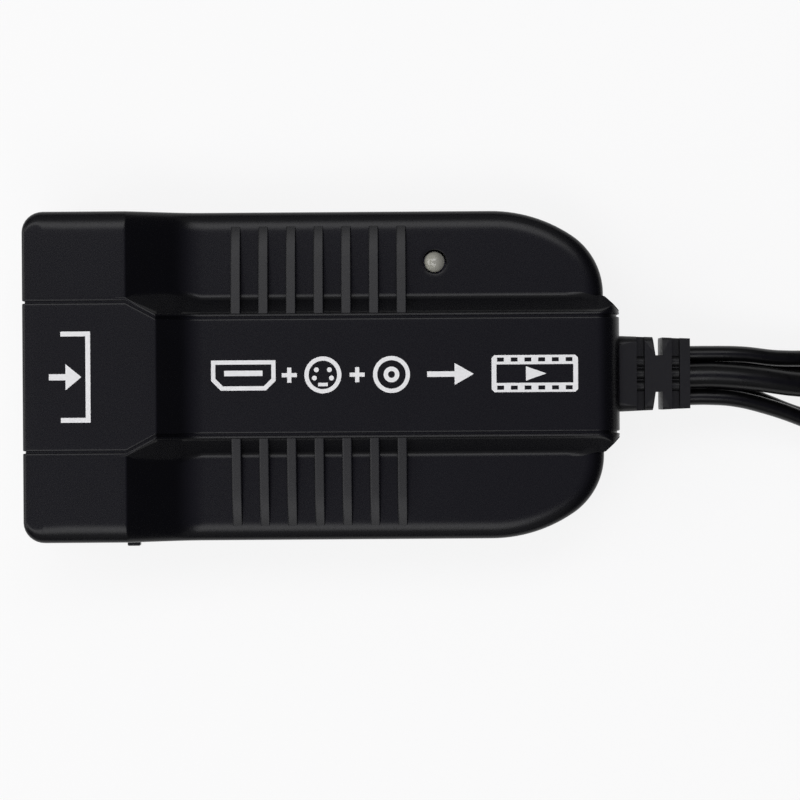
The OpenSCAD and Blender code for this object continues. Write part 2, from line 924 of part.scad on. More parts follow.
// Mouth of the input socket: wide above, drawn in below
module hd_outline(w, h) {
    polygon([
        [-w / 2, h / 2], [w / 2, h / 2], [w / 2, -h / 2 + hd_cheek_h],
        [w / 2 - hd_cheek_w, -h / 2], [-w / 2 + hd_cheek_w, -h / 2], [-w / 2, -h / 2 + hd_cheek_h]
    ]);
}

module hd_socket_shell() {
    color("lightgray")
        translate([0, 0, hd_z])
            along_x(hd_x, hd_x + hd_l)
                difference() {
                    hd_outline(hd_w, hd_h);
                    hd_outline(hd_mouth_w, hd_mouth_h);
                }
}

module hd_socket_tongue() {
    x_back = hd_x + hd_l - hd_back;
    color([0.08, 0.08, 0.08])
        translate([0, 0, hd_z]) {
            along_x(x_back, hd_x + hd_l)
                hd_outline(hd_mouth_w, hd_mouth_h);
            along_x(x_back - hd_tongue_l, x_back + past)
                translate([-hd_tongue_w / 2, hd_tongue_rise - hd_tongue_t / 2])
                    square([hd_tongue_w, hd_tongue_t]);
        }
}

module hd_socket_contacts() {
    x_back = hd_x + hd_l - hd_back;
    color("gold")
        translate([0, 0, hd_z + hd_tongue_rise]) {
            translate([0, 0, hd_tongue_t / 2])
                hd_contact_row(x_back, hd_contacts_top);
            translate([0, 0, -hd_tongue_t / 2 - hd_contact_t])
                hd_contact_row(x_back, hd_contacts_under);
        }
}

module hd_contact_row(x_back, count) {
    for (i = [0 : count - 1])
        translate([x_back - hd_contact_l, spread(i, count, hd_contact_pitch) - hd_contact_w / 2, 0])
            cube([hd_contact_l, hd_contact_w, hd_contact_t]);
}

module switch_body() {
    color([0.1, 0.1, 0.1])
        difference() {
            translate([button_x - switch_w / 2, switch_y, board_top])
                cube([switch_w, switch_d, switch_h]);
            translate([button_x, switch_y - past, seam_z])
                rotate([-90, 0, 0])
                    cylinder(r = plunger_r + plunger_gap, h = switch_well + past);
        }
}

// Sheet cover folded over the switch's top and two sides
module switch_cover() {
    color("silver")
        difference() {
            translate([button_x - switch_w / 2 - switch_sheet, switch_y, board_top])
                cube([switch_w + 2 * switch_sheet, switch_d, switch_h + switch_sheet]);
            translate([button_x - switch_w / 2, switch_y - past, board_top - past])
                cube([switch_w, switch_d + 2 * past, switch_h + past]);
        }
}

module switch_plunger() {
    color([0.15, 0.15, 0.15])
        translate([button_x, button_flange_y + button_flange_t, seam_z])
            rotate([-90, 0, 0])
                cylinder(r = plunger_r, h = plunger_l);
}

// Button: a square stem through the wall, with a flange that keeps it in
module source_button() {
    color([0.1, 0.1, 0.11]) {
        along_y(button_y, button_flange_y + button_flange_t)
            translate([button_x, seam_z])
                square(button_w, center = true);
        along_y(button_flange_y, button_flange_y + button_flange_t)
            translate([button_x, seam_z])
                square(button_flange_w, center = true);
    }
}

module led_lens() {
    dome_z = led_base_z + led_len - led_r;
    color([0.86, 0.86, 0.8, 0.6])
        translate([led_x, led_y, 0]) {
            translate([0, 0, led_base_z])
                cylinder(r = led_flange_r, h = led_flange_t);
            translate([0, 0, led_base_z])
                cylinder(r = led_r, h = dome_z - led_base_z);
            intersection() {
                translate([0, 0, dome_z])
                    sphere(led_r);
                translate([0, 0, dome_z])
                    cylinder(r = led_d, h = led_d);
            }
        }
}

module led_legs() {
    z0 = board_z - led_leg_below;
    color("silver")
        for (side = [-1, 1])
            translate([led_x + side * led_leg_pitch / 2 - led_leg_w / 2, led_y - led_leg_w / 2, z0])
                cube([led_leg_w, led_leg_w, led_base_z - z0]);
}

// Strain relief: tapered body with slots cut from alternate faces, so that it bends both ways
module strain_relief() {
    slot_x = relief_slot / 2;
    notch_x = relief_notch_w / 2;
    color([0.12, 0.12, 0.13])
        translate([0, 0, relief_z]) {
            along_x(relief_flange_x, relief_flange_x + relief_flange_t)
                rounded_rect(relief_flange_w, relief_flange_h, relief_neck_corner);
            along_x(relief_flange_x, x_nose + past)
                rounded_rect(relief_neck_w, relief_neck_h, relief_neck_corner);
            difference() {
                relief_blank();
                for (x = relief_top_slots, side = [0, 1])
                    mirror([0, 0, side])
                        translate([x_nose + x - slot_x, -relief_w, relief_web_h / 2])
                            cube([relief_slot, 2 * relief_w, relief_w]);
                for (side = [0, 1])
                    mirror([0, side, 0])
                        translate([x_nose + relief_notch_x, 0, -relief_h])
                            linear_extrude(2 * relief_h)
                                polygon([
                                    [notch_x, relief_web_w / 2], [notch_x, relief_w],
                                    [-notch_x - relief_flare, relief_w], [-notch_x, relief_web_w / 2]
                                ]);
            }
            relief_lumps();
        }
}

module relief_blank() {
    t = relief_taper / 2;
    intersection() {
        along_x(x_nose, relief_end_x)
            rounded_rect(relief_w, relief_h, relief_corner);
        linear_extrude(relief_h, center = true)
            polygon([
                [x_nose, relief_w / 2], [relief_end_x, relief_w / 2 - t],
                [relief_end_x, -relief_w / 2 + t], [x_nose, -relief_w / 2]
            ]);
        along_y(-relief_w, relief_w)
            polygon([
                [x_nose, relief_h / 2], [relief_end_x, relief_h / 2 - t],
                [relief_end_x, -relief_h / 2 + t], [x_nose, -relief_h / 2]
            ]);
    }
}

// Backs of the leads, showing as low ridges on the webs inside the top and bottom slots
module relief_lumps() {
    for (i = [0 : relief_lump_count - 1], side = [-1, 1])
        along_x(x_nose + past, relief_end_x - past)
            translate([
                spread(i, relief_lump_count, relief_lump_pitch),
                side * (relief_web_h / 2 + relief_lump_rise - relief_lump_r)
            ])
                circle(relief_lump_r);
}

// Lead stubs from the strain relief's flange over the board, and their soldered wires
module lead_ends() {
    z = board_top + lead_end_r + lead_end_rest;
    color([0.1, 0.1, 0.1])
        for (i = [0 : lead_count - 1])
            along_x(relief_flange_x - lead_end_l, relief_flange_x)
                translate([spread(i, lead_count, lead_end_pitch), z])
                    circle(lead_end_r);
}

module lead_joints() {
    z = lead_end_r + lead_end_rest;
    x = relief_flange_x - lead_end_l - joint_wire_l;
    color("silver")
        for (i = [0 : lead_count - 1])
            translate([x, spread(i, lead_count, lead_end_pitch), board_top]) {
                cylinder(r1 = joint_r, r2 = joint_wire_r, h = joint_h);
                along_x(0, joint_wire_l)
                    translate([0, z])
                        circle(joint_wire_r);
            }
}

// Ring of points round one point of a route, square to the way it runs
function ring(p, way, r) =
    let (f = way / norm(way), side = cross([0, 0, 1], f), s = side / norm(side), up = cross(f, s))
    [
        for (i = [0 : lead_sides - 1])
            let (a = 360 * i / lead_sides)
                p + r * (cos(a) * s + sin(a) * up)
    ];

// Way that a route runs at one of its points: along X at both ends, else between its neighbours
function way_at(route, i) =
    (i == 0 || i == len(route) - 1) ? [1, 0, 0] : route[i + 1] - route[i - 1];

module lead(route, d) {
    n = lead_sides;
    count = len(route);
    points = [for (i = [0 : count - 1]) each ring(route[i], way_at(route, i), d / 2)];
    skin = [
        for (i = [0 : count - 2], j = [0 : n - 1])
            let (a = i * n + j, b = i * n + (j + 1) % n)
                each [[a, a + n, b], [b, a + n, b + n]]
    ];
    near_cap = [for (j = [1 : n - 2]) [0, j, j + 1]];
    far_base = (count - 1) * n;
    far_cap = [for (j = [1 : n - 2]) [far_base, far_base + j + 1, far_base + j]];
    color([0.06, 0.06, 0.065])
        polyhedron(points, concat(skin, near_cap, far_cap));
}

module data_lead() {
    lead(data_route, data_lead_d);
}

module svideo_lead() {
    lead(svideo_route, svideo_lead_d);
}

module video_lead() {
    lead(video_route, phono_lead_d);
}

module left_audio_lead() {
    lead(left_audio_route, phono_lead_d);
}

module right_audio_lead() {
    lead(right_audio_route, phono_lead_d);
}

// Sets a plug or socket on the end of its lead, pointing along +X
module at_end(route) {
    translate(route[len(route) - 1])
        children();
}

// Grip of a phono line socket: slim neck, shoulder, ringed body
module phono_grip(route) {
    r = phono_grip_d / 2;
    neck = phono_lead_d / 2 + phono_neck_wall;
    body_x = phono_neck_l + phono_shoulder_l;
    first = body_x + phono_ring_pitch;
    rings = [
        for (i = [0 : phono_rings - 1])
            let (x = first + i * phono_ring_pitch)
                each [
                    [x, r], [x + phono_ring_w / 4, r - phono_ring_d],
                    [x + phono_ring_w * 3 / 4, r - phono_ring_d], [x + phono_ring_w, r]
                ]
    ];
    color([0.07, 0.07, 0.07])
        at_end(route)
            about_x()
                polygon(concat(
                    [[0, 0], [0, neck], [phono_neck_l, neck + phono_neck_wall], [body_x, r]],
                    rings,
                    [[phono_grip_l - phono_lip, r], [phono_grip_l, r - phono_lip], [phono_grip_l, 0]]
                ));
}

// Plated barrel that a phono plug's skirt slides over
module phono_barrel(route) {
    r = phono_barrel_d / 2;
    x0 = phono_grip_l;
    x1 = x0 + phono_collar_l;
    x2 = x0 + phono_barrel_l;
    color("gainsboro")
        at_end(route)
            about_x()
                polygon([
                    [x0, r - phono_barrel_t], [x0, r + phono_collar_r], [x1, r + phono_collar_r],
                    [x1, r], [x2, r], [x2, r - phono_barrel_t]
                ]);
}

// Coloured insulator inside the barrel, with the hole for the plug's pin
module phono_insert(route, tint) {
    r = phono_barrel_d / 2 - phono_barrel_t;
    color(tint)
        at_end(route)
            translate([phono_grip_l, 0, 0])
                rotate([0, 90, 0])
                    difference() {
                        cylinder(r = r, h = phono_barrel_l - phono_recess);
                        translate([0, 0, -past])
                            cylinder(d = phono_hole_d, h = phono_barrel_l + 2 * past);
                    }
}

module video_grip() {
    phono_grip(video_route);
}

module video_barrel() {
    phono_barrel(video_route);
}

module video_insert() {
    phono_insert(video_route, "gold");
}

module left_audio_grip() {
    phono_grip(left_audio_route);
}

module left_audio_barrel() {
    phono_barrel(left_audio_route);
}

module left_audio_insert() {
    phono_insert(left_audio_route, "white");
}

module right_audio_grip() {
    phono_grip(right_audio_route);
}

module right_audio_barrel() {
    phono_barrel(right_audio_route);
}

module right_audio_insert() {
    phono_insert(right_audio_route, "firebrick");
}

// Grip of the S-video line socket, bored at the front for its shield
module svideo_grip() {
    r = svideo_grip_d / 2;
    neck = svideo_lead_d / 2 + phono_neck_wall;
    body_x = svideo_neck_l + svideo_shoulder_l;
    bore_r = svideo_shield_d / 2 + svideo_sheet;
    color([0.07, 0.07, 0.07])
        at_end(svideo_route)
            about_x()
                polygon([
                    [0, 0], [0, neck], [svideo_neck_l, neck + phono_neck_wall], [body_x, r],
                    [svideo_grip_l - phono_lip, r], [svideo_grip_l, r - phono_lip], [svideo_grip_l, bore_r],
                    [svideo_grip_l - svideo_depth, bore_r], [svideo_grip_l - svideo_depth, 0]
                ]);
}

module svideo_shield() {
    r = svideo_shield_d / 2;
    x0 = svideo_grip_l - svideo_depth;
    x1 = svideo_grip_l + svideo_shield_proud;
    color("gainsboro")
        at_end(svideo_route)
            about_x()
                polygon([[x0, r], [x0, r + svideo_sheet], [x1, r + svideo_sheet], [x1, r]]);
}

module svideo_insert() {
    r = svideo_shield_d / 2 - svideo_insert_gap;
    x0 = svideo_grip_l - svideo_depth;
    x1 = svideo_grip_l - svideo_insert_recess;
    color([0.09, 0.09, 0.09])
        at_end(svideo_route)
            difference() {
                translate([x0, 0, 0])
                    rotate([0, 90, 0])
                        cylinder(r = r, h = x1 - x0);
                for (pin = svideo_pins)
                    translate([x1 - svideo_pin_depth, pin[0], pin[1]])
                        rotate([0, 90, 0])
                            cylinder(r = svideo_pin_r, h = svideo_pin_depth + past);
                translate([x1 - svideo_pin_depth, -svideo_key_w / 2, svideo_key_z - svideo_key_h / 2])
                    cube([svideo_pin_depth + past, svideo_key_w, svideo_key_h]);
            }
}

// Grip of the data plug: tapered neck running into a rounded slab
module data_plug_grip() {
    neck = data_lead_d / 2 + data_neck_wall;
    x0 = data_neck_l;
    w = data_grip_w / 2;
    color([0.07, 0.07, 0.07])
        at_end(data_route) {
            about_x()
                polygon([[0, 0], [0, neck], [x0 + past, neck + data_neck_flare], [x0 + past, 0]]);
            intersection() {
                along_x(x0, data_grip_l)
                    rounded_rect(data_grip_w, data_grip_t, data_grip_corner);
                linear_extrude(data_grip_t, center = true)
                    polygon([
                        [x0, w - data_grip_back], [x0 + data_grip_back, w], [data_grip_l, w],
                        [data_grip_l, -w], [x0 + data_grip_back, -w], [x0, -w + data_grip_back]
                    ]);
            }
        }
}

// Folded sheet shell of the data plug, with its latch windows
module data_plug_shell() {
    x0 = data_grip_l;
    inner_w = data_shell_w - 2 * data_sheet;
    inner_t = data_shell_t - 2 * data_sheet;
    color("gainsboro")
        at_end(data_route)
            difference() {
                along_x(x0, x0 + data_shell_l)
                    difference() {
                        square([data_shell_w, data_shell_t], center = true);
                        square([inner_w, inner_t], center = true);
                    }
                for (side = [-1, 1])
                    translate([x0 + data_window_x, side * data_window_y, 0])
                        cube([data_window, data_window, 2 * data_shell_t], center = true);
            }
}

module data_plug_tongue() {
    w = data_shell_w - 2 * data_sheet;
    z1 = data_shell_t / 2 - data_sheet;
    color([0.9, 0.9, 0.88])
        at_end(data_route)
            translate([data_grip_l, -w / 2, z1 - data_tongue_t])
                cube([data_shell_l - data_tongue_back, w, data_tongue_t]);
}

module data_plug_contacts() {
    z1 = data_shell_t / 2 - data_sheet - data_tongue_t;
    x1 = data_grip_l + data_shell_l - 2 * data_tongue_back;
    color("gold")
        at_end(data_route)
            for (i = [0 : data_contacts - 1])
                translate([
                    x1 - data_contact_l, spread(i, data_contacts, data_contact_pitch) - data_contact_w / 2,
                    z1 - data_contact_t
                ])
                    cube([data_contact_l, data_contact_w, data_contact_t]);
}

top_shell();
bottom_shell();
case_screws();
main_board();
capture_chip();
chip_legs();
decoder_chip();
memory_chip();
crystal_can();
voltage_regulator();
filter_capacitors();
supply_coil();
hd_socket_shell();
hd_socket_tongue();
hd_socket_contacts();
switch_body();
switch_cover();
switch_plunger();
source_button();
led_lens();
led_legs();
strain_relief();
lead_ends();
lead_joints();
data_lead();
svideo_lead();
video_lead();
left_audio_lead();
right_audio_lead();
data_plug_grip();
data_plug_shell();
data_plug_tongue();
data_plug_contacts();
svideo_grip();
svideo_shield();
svideo_insert();
video_grip();
video_barrel();
video_insert();
left_audio_grip();
left_audio_barrel();
left_audio_insert();
right_audio_grip();
right_audio_barrel();
right_audio_insert();
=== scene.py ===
import bpy
import bmesh
import math
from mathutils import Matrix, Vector


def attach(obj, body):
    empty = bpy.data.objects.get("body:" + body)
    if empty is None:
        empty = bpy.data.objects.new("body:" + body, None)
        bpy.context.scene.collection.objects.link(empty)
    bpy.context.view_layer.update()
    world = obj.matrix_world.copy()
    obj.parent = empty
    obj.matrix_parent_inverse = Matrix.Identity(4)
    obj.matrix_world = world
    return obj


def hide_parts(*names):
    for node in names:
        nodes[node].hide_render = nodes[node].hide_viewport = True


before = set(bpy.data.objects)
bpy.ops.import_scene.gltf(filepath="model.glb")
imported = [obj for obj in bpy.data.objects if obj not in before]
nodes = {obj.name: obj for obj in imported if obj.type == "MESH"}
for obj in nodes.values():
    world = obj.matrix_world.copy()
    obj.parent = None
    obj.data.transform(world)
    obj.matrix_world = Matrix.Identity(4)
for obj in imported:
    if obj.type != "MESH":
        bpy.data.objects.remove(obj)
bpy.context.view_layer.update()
mm = 0.001
joinWithin, flatWithin = 1e-7, 1e-8   # metres: closer points become one, thinner faces go
print("frame loaded with", len(nodes), "nodes")


# Camera, straight above the part and turned a little as the part lies in the picture
cameraView = {
    "over": (11.215, -3.637), "height": 430.0, "nearest": 10.0,   # millimetres
    "turn": -0.4,   # degrees
    "focalPixels": 2831.4, "imagePixels": 800,
}

camera = bpy.data.objects.new("camera", bpy.data.cameras.new("camera"))
bpy.context.scene.collection.objects.link(camera)
camera.location = Vector((*cameraView["over"], cameraView["height"])) * mm
camera.rotation_euler = (0, 0, math.radians(cameraView["turn"]))
camera.data.sensor_fit = "HORIZONTAL"
camera.data.angle = 2 * math.atan(cameraView["imagePixels"] / 2 / cameraView["focalPixels"])
camera.data.clip_start = cameraView["nearest"] * mm
bpy.context.scene.camera = camera
print("camera set")


def addObject(name, data, body="case", stands=None):
    piece = bpy.data.objects.new(name, data)
    bpy.context.scene.collection.objects.link(piece)
    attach(piece, body)
    if stands:
        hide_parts(stands)
    return piece


# Mesh data from a finished bmesh, smooth all over except where faces meet more sharply than the angle
def meshData(name, mesh, sharpAngle=None):
    data = bpy.data.meshes.new(name)
    mesh.to_mesh(data)
    mesh.free()
    if sharpAngle:
        for polygon in data.polygons:
            polygon.use_smooth = True
        data.set_sharp_from_angle(angle=math.radians(sharpAngle))
    return data


# Leads: routes in millimetres from the strain relief to each plug or socket, the same points as the solids
leads = {
    "data_lead": {
        "diameter": 3.8, "farEnd": "plug", "stiffness": "medium",
        "onIt": [
            "strain_relief", "data_plug_grip", "data_plug_shell", "data_plug_tongue", "data_plug_contacts"],
        "route": [
            (54, -0.3, 10.2), (58, -0.3, 10.2), (64, -0.8, 9.8), (70, -1.6, 8.8), (77, -2, 7),
            (85, -1.9, 4.8), (93, -1.6, 3.1), (102, -1.2, 2.1), (112, -0.8, 2), (124, -0.5, 2),
            (136, -0.4, 2), (148, -0.4, 2), (160, -0.4, 2), (172, -0.4, 2.2), (184, -0.3, 3.2),
            (192, -0.3, 3.9), (198, -0.3, 4)],
    },
    "svideo_lead": {
        "diameter": 2.8, "farEnd": "connector", "stiffness": "medium",
        "onIt": ["svideo_grip", "svideo_shield", "svideo_insert"],
        "route": [
            (54, 1.5, 6.7), (57, 1.5, 6.7), (62, 1.5, 6.1), (68, 1.2, 4.7), (74, 1.2, 3.2),
            (80, 1.6, 2.1), (87, 2.4, 1.6), (94, 3.3, 1.5), (102, 4.4, 1.5), (111, 5.6, 1.5),
            (121, 6.8, 1.5), (131, 7.8, 1.7), (140, 8.4, 2.7), (148, 8.6, 4.6), (155, 8.6, 6.2),
            (160, 8.6, 6.5)],
    },
    "video_lead": {
        "diameter": 2.4, "farEnd": "connector", "stiffness": "medium",
        "onIt": ["video_grip", "video_barrel", "video_insert"],
        "route": [
            (54, 2.9, 9.2), (57, 2.9, 9.2), (62, 2.8, 8.9), (68, 2.2, 7.8), (74, 2.4, 6.1),
            (80, 3.8, 4.3), (87, 6.2, 2.7), (94, 9.2, 1.7), (102, 12.6, 1.3), (111, 16, 1.3),
            (121, 18.8, 1.3), (131, 20.4, 1.4), (140, 21, 2), (148, 21, 3.5), (155, 21, 4.8),
            (160, 21, 5)],
    },
    "left_audio_lead": {
        "diameter": 2.4, "farEnd": "connector", "stiffness": "medium",
        "onIt": ["left_audio_grip", "left_audio_barrel", "left_audio_insert"],
        "route": [
            (54, -1.5, 6.6), (57, -1.5, 6.6), (61, -2.3, 6.3), (66, -4.3, 5.4), (71, -6.2, 4.1),
            (77, -7.8, 2.6), (84, -8.9, 1.6), (92, -9.4, 1.3), (101, -9.5, 1.3), (111, -9.3, 1.3),
            (121, -9, 1.3), (131, -8.7, 1.4), (140, -8.6, 2), (148, -8.6, 3.5), (155, -8.6, 4.8),
            (160, -8.6, 5)],
    },
    "right_audio_lead": {
        "diameter": 2.4, "farEnd": "connector", "stiffness": "medium",
        "onIt": ["right_audio_grip", "right_audio_barrel", "right_audio_insert"],
        "route": [
            (54, -3.5, 9.1), (57, -3.5, 9.1), (61, -3.8, 8.8), (66, -5, 7.9), (71, -6.7, 6.7),
            (77, -9.2, 4.9), (84, -12.2, 3.1), (92, -15, 1.8), (101, -17, 1.3), (111, -18.6, 1.3),
            (121, -19.7, 1.3), (131, -20.4, 1.4), (140, -20.6, 2), (148, -20.6, 3.5), (155, -20.6, 4.8),
            (160, -20.6, 5)],
    },
}
sheath = {"alongSteps": 10, "roundSteps": 5}

leadPieces = []
for node, lead in leads.items():
    curve = bpy.data.curves.new(node + "_sheath", "CURVE")
    curve.dimensions = "3D"
    curve.resolution_u = sheath["alongSteps"]
    curve.bevel_depth = 1.0   # times each point's radius, so the curve's box is the lead's own
    curve.bevel_resolution = sheath["roundSteps"]
    curve.use_fill_caps = True
    spline = curve.splines.new("BEZIER")
    spline.bezier_points.add(len(lead["route"]) - 1)
    for point, place in zip(spline.bezier_points, lead["route"]):
        point.co = Vector(place) * mm
        point.radius = lead["diameter"] / 2 * mm
        point.handle_left_type = point.handle_right_type = "AUTO"
    piece = addObject(node + "_sheath", curve, stands=node)
    leadPieces.append(piece)


# Top shell: one skin of a plate (block, ramp, wings), a spine lying on it, and the wedge ribs
shell = {
    "left": -43.5, "nose": 43.5, "noseLength": 2.3, "halfWidth": 24.1, "corner": 3.0,
    "blockTop": 20.0, "wingTop": 15.0, "seam": 9.0, "seamChamfer": 0.12,
    "crest": -28.5, "slope": 30.0, "crestRound": 0.8, "footRound": 9.0,
    "sideEdge": [(0, 18, 4.5), (18, 45, 2.76), (45, 90, 1.2)],   # turns: from and to in degrees, radius
    "endEdge": 0.6,
    "tailWide": 21.4, "tailTurn": 34.0, "tailTight": 10.4,   # a wide and a tight arc round each tail corner
    "spineBase": 11.5, "spineTop": 9.15, "spineRise": 2.2, "noseRound": 3.5,   # base and top are half widths
    "portHalf": 7.65, "portTop": 11.83,
    "buttonAt": -28.4, "buttonHole": 1.1, "buttonTop": 10.1,
    "lampAt": (16.4, 16.6), "lampPatch": 3.0,
    "sharpAngle": 36,
}
# How many cells the skin has along each of its stretches
cells = {
    "plateArc": 10, "spineArc": 12, "edgeTurn": 4, "corner": 8, "tailWide": 14, "tailTight": 20,
    "block": 3, "wing": 6, "tail": 2, "lamp": 8,
}
slope = math.radians(shell["slope"])
rampFoot = shell["crest"] + (shell["blockTop"] - shell["wingTop"]) / math.tan(slope)
spineCrest = shell["crest"] + shell["spineRise"] / math.sin(slope)
spineFoot = rampFoot + shell["spineRise"] * math.tan(slope / 2)
spineTopZ = shell["wingTop"] + shell["spineRise"]
wingEnd = shell["nose"] - shell["noseLength"]
chamfer = shell["seamChamfer"]
lampX, lampY = shell["lampAt"]
patch = shell["lampPatch"]


# A line through corners (across, up, radius), with each corner rounded by an arc
def roundedPath(corners, steps):
    path = [Vector(corners[0][:2])]
    for before, corner, after in zip(corners, corners[1:], corners[2:]):
        at, radius = Vector(corner[:2]), corner[2]
        intoIt, outOfIt = (at - Vector(before[:2])).normalized(), (Vector(after[:2]) - at).normalized()
        turn = intoIt.angle_signed(outOfIt)
        if not radius:
            path.append(at)
            continue
        reach = radius * math.tan(abs(turn) / 2)
        middle = at - intoIt * reach + intoIt.orthogonal() * (-radius if turn > 0 else radius)
        spoke = at - intoIt * reach - middle
        for i in range(steps + 1):
            c, s = math.cos(-turn * i / steps), math.sin(-turn * i / steps)
            path.append(middle + Vector((spoke.x * c - spoke.y * s, spoke.x * s + spoke.y * c)))
    path.append(Vector(corners[-1][:2]))
    return path


def heightOn(path, x):
    for a, b in zip(path, path[1:]):
        if a.x <= x <= b.x and b.x > a.x:
            return a.y + (b.y - a.y) * (x - a.x) / (b.x - a.x)
    return path[-1].y


def between(a, b, count):
    return [a + (b - a) * i / count for i in range(count + 1)]


def clamped(share):
    return min(max(share, 0), 1)


# Lays quads over a grid of points, leaving out the cells that skip names
def layGrid(mesh, grid, flip, skip=None):
    rows = [[mesh.verts.new(Vector(p) * mm) for p in row] for row in grid]
    for i in range(len(rows) - 1):
        for j in range(len(rows[i]) - 1):
            corners = [rows[i][j], rows[i + 1][j], rows[i + 1][j + 1], rows[i][j + 1]]
            middle = sum((v.co for v in corners), Vector()) / 4 / mm
            if skip and skip(middle):
                continue
            mesh.faces.new(corners[::-1] if flip else corners)


# An edge rolled in several turns (from, to, radius), as runs outwards and drops in millimetres
def edgeCurve(turns):
    run = drop = 0.0
    curve = [(run, drop)]
    for start, stop, bend in turns:
        angles = [math.radians(a) for a in between(start, stop, cells["edgeTurn"])]
        for a, b in zip(angles, angles[1:]):
            run += bend * (math.sin(b) - math.sin(a))
            drop += bend * (math.cos(a) - math.cos(b))
            curve.append((run, drop))
    return curve


# Plate: its inner edge dips out of sight below the spine, and its cells meet the square kept for the lamp
plate = {
    "dip": 0.6, "dippedRows": 2, "dipMargin": 0.008, "dipStep": 0.002, "openMargin": 0.1,
    "nearRow": 12.2, "farRow": 20.7,
    "wallRows": [0.35, 0.7, 1.0],   # shares of the way down to the top of the button's hole
    "crestClear": 2, "footClear": 4, "tailTuck": 0.05, "lampAbove": 14,
}
plateLine = roundedPath([
    (shell["left"], shell["blockTop"], 0), (shell["crest"], shell["blockTop"], shell["crestRound"]),
    (rampFoot, shell["wingTop"], shell["footRound"]), (shell["nose"], shell["wingTop"], 0)],
    cells["plateArc"])
sideCurve = edgeCurve(shell["sideEdge"])
endCurve = edgeCurve([(start, stop, shell["endEdge"]) for start, stop, _ in shell["sideEdge"]])

# Half outline of the plate, from the input end to the tail's end: point, outward way and rolled edge
outline = []
cornerX, cornerY = shell["left"] + shell["corner"], shell["halfWidth"] - shell["corner"]
for turn in between(180, 90, cells["corner"]):
    way = Vector((math.cos(math.radians(turn)), math.sin(math.radians(turn))))
    share = (180 - turn) / 90   # the end's edge grows into the side's
    grown = [(a + (c - a) * share, b + (d - b) * share) for (a, b), (c, d) in zip(endCurve, sideCurve)]
    outline.append((Vector((cornerX, cornerY)) + way * shell["corner"], way, grown))
tailX2 = wingEnd - shell["tailTight"]
tailTurn = math.radians(shell["tailTurn"])
tailStep = shell["tailWide"] - shell["tailTight"]
tailX1, tailY1 = tailX2 - tailStep * math.sin(tailTurn), shell["halfWidth"] - shell["tailWide"]
tailY2 = tailY1 + tailStep * math.cos(tailTurn)
alongSide = sorted({round(x, 4) for x in (
    [p.x for p in plateLine[1:-1]]
    + between(cornerX, shell["crest"] - plate["crestClear"], cells["block"])[1:]
    + [shell["buttonAt"] - shell["buttonHole"], shell["buttonAt"] + shell["buttonHole"]]
    + between(rampFoot + plate["footClear"], lampX - patch, cells["wing"])
    + between(lampX - patch, lampX + patch, cells["lamp"])
    + between(lampX + patch, tailX1, cells["tail"])[:-1])})
outline += [(Vector((x, shell["halfWidth"])), Vector((0, 1)), sideCurve) for x in alongSide]
wideCells, tightCells = cells["tailWide"], cells["tailTight"]
wideTurns = [math.pi / 2 - tailTurn * i / wideCells for i in range(wideCells + 1)]
tightTurns = [(math.pi / 2 - tailTurn) * (1 - i / tightCells) for i in range(1, tightCells + 1)]
for middle, radius, turns in (((tailX1, tailY1), shell["tailWide"], wideTurns),
                              ((tailX2, tailY2), shell["tailTight"], tightTurns)):
    for turn in turns:
        way = Vector((math.cos(turn), math.sin(turn)))
        outline.append((Vector(middle) + way * radius, way, sideCurve))
outline.append((Vector((wingEnd, shell["spineBase"] - plate["tailTuck"])), Vector((1, 0)), sideCurve))

hiddenEdge = shell["spineBase"] + plate["dipMargin"]   # the plate dips under the spine inside this line
innerRows = [hiddenEdge + plate["dipStep"], plate["nearRow"]]
innerRows += between(lampY - patch, lampY + patch, cells["lamp"]) + [plate["farRow"]]
flatHalf = shell["halfWidth"] - sideCurve[-1][0]


# One column of the plate, from its middle over the rolled edge and down the wall to the seam
def plateColumn(point, way, curve, side):
    inner = point - way * curve[-1][0]
    top = heightOn(plateLine, inner.x)
    hidden = top - plate["dip"]
    column = [(inner.x, 0, hidden), (inner.x, hiddenEdge - plate["dipStep"], hidden)]
    start = innerRows[0]
    spread = [start + (y - start) * (inner.y - start) / (flatHalf - start) for y in innerRows]
    column += [(inner.x, y, top) for y in spread]
    for run, drop in curve:
        at = inner + way * run
        column.append((at.x, at.y, heightOn(plateLine, at.x) - drop))
    wallTop, low = column[-1][2], shell["buttonTop"]
    column += [(point.x, point.y, low + (wallTop - low) * (1 - share)) for share in plate["wallRows"]]
    column.append((point.x, point.y, shell["seam"] + chamfer))
    column.append((point.x - way.x * chamfer, point.y - way.y * chamfer, shell["seam"]))
    return [(x, side * y, z) for x, y, z in column]


# Cells of the plate left open: under the spine, round the lamp, and at the button on the near side
def leftOpen(at):
    underSpine = abs(at.y) < hiddenEdge - plate["openMargin"]
    atLamp = abs(at.x - lampX) < patch and abs(at.y - lampY) < patch and at.z > plate["lampAbove"]
    byButton = at.y < 0 and abs(at.x - shell["buttonAt"]) < shell["buttonHole"]
    return underSpine or atLamp or (byButton and at.z < shell["buttonTop"])


skin = bmesh.new()
for side in (1, -1):
    columns = [plateColumn(point, way, curve, side) for point, way, curve in outline]
    layGrid(skin, columns, side < 0, leftOpen)
    # End wall, from the plate's first column down to the seam
    first = columns[0][:plate["dippedRows"] + len(innerRows) + 1]
    face = [[(x - run, y, z - drop) for x, y, z in first] for run, drop in endCurve]
    low = face[-1]
    for z, inset in ((shell["portTop"], 0), (shell["seam"] + chamfer, 0), (shell["seam"], chamfer)):
        face.append([(x + inset, y, z) for x, y, _ in low])
    for row in face:
        for j in range(plate["dippedRows"]):
            x, y, z = row[j]
            row[j] = (x + plate["dip"], y, z)
    layGrid(skin, face, side < 0, leftOpen)

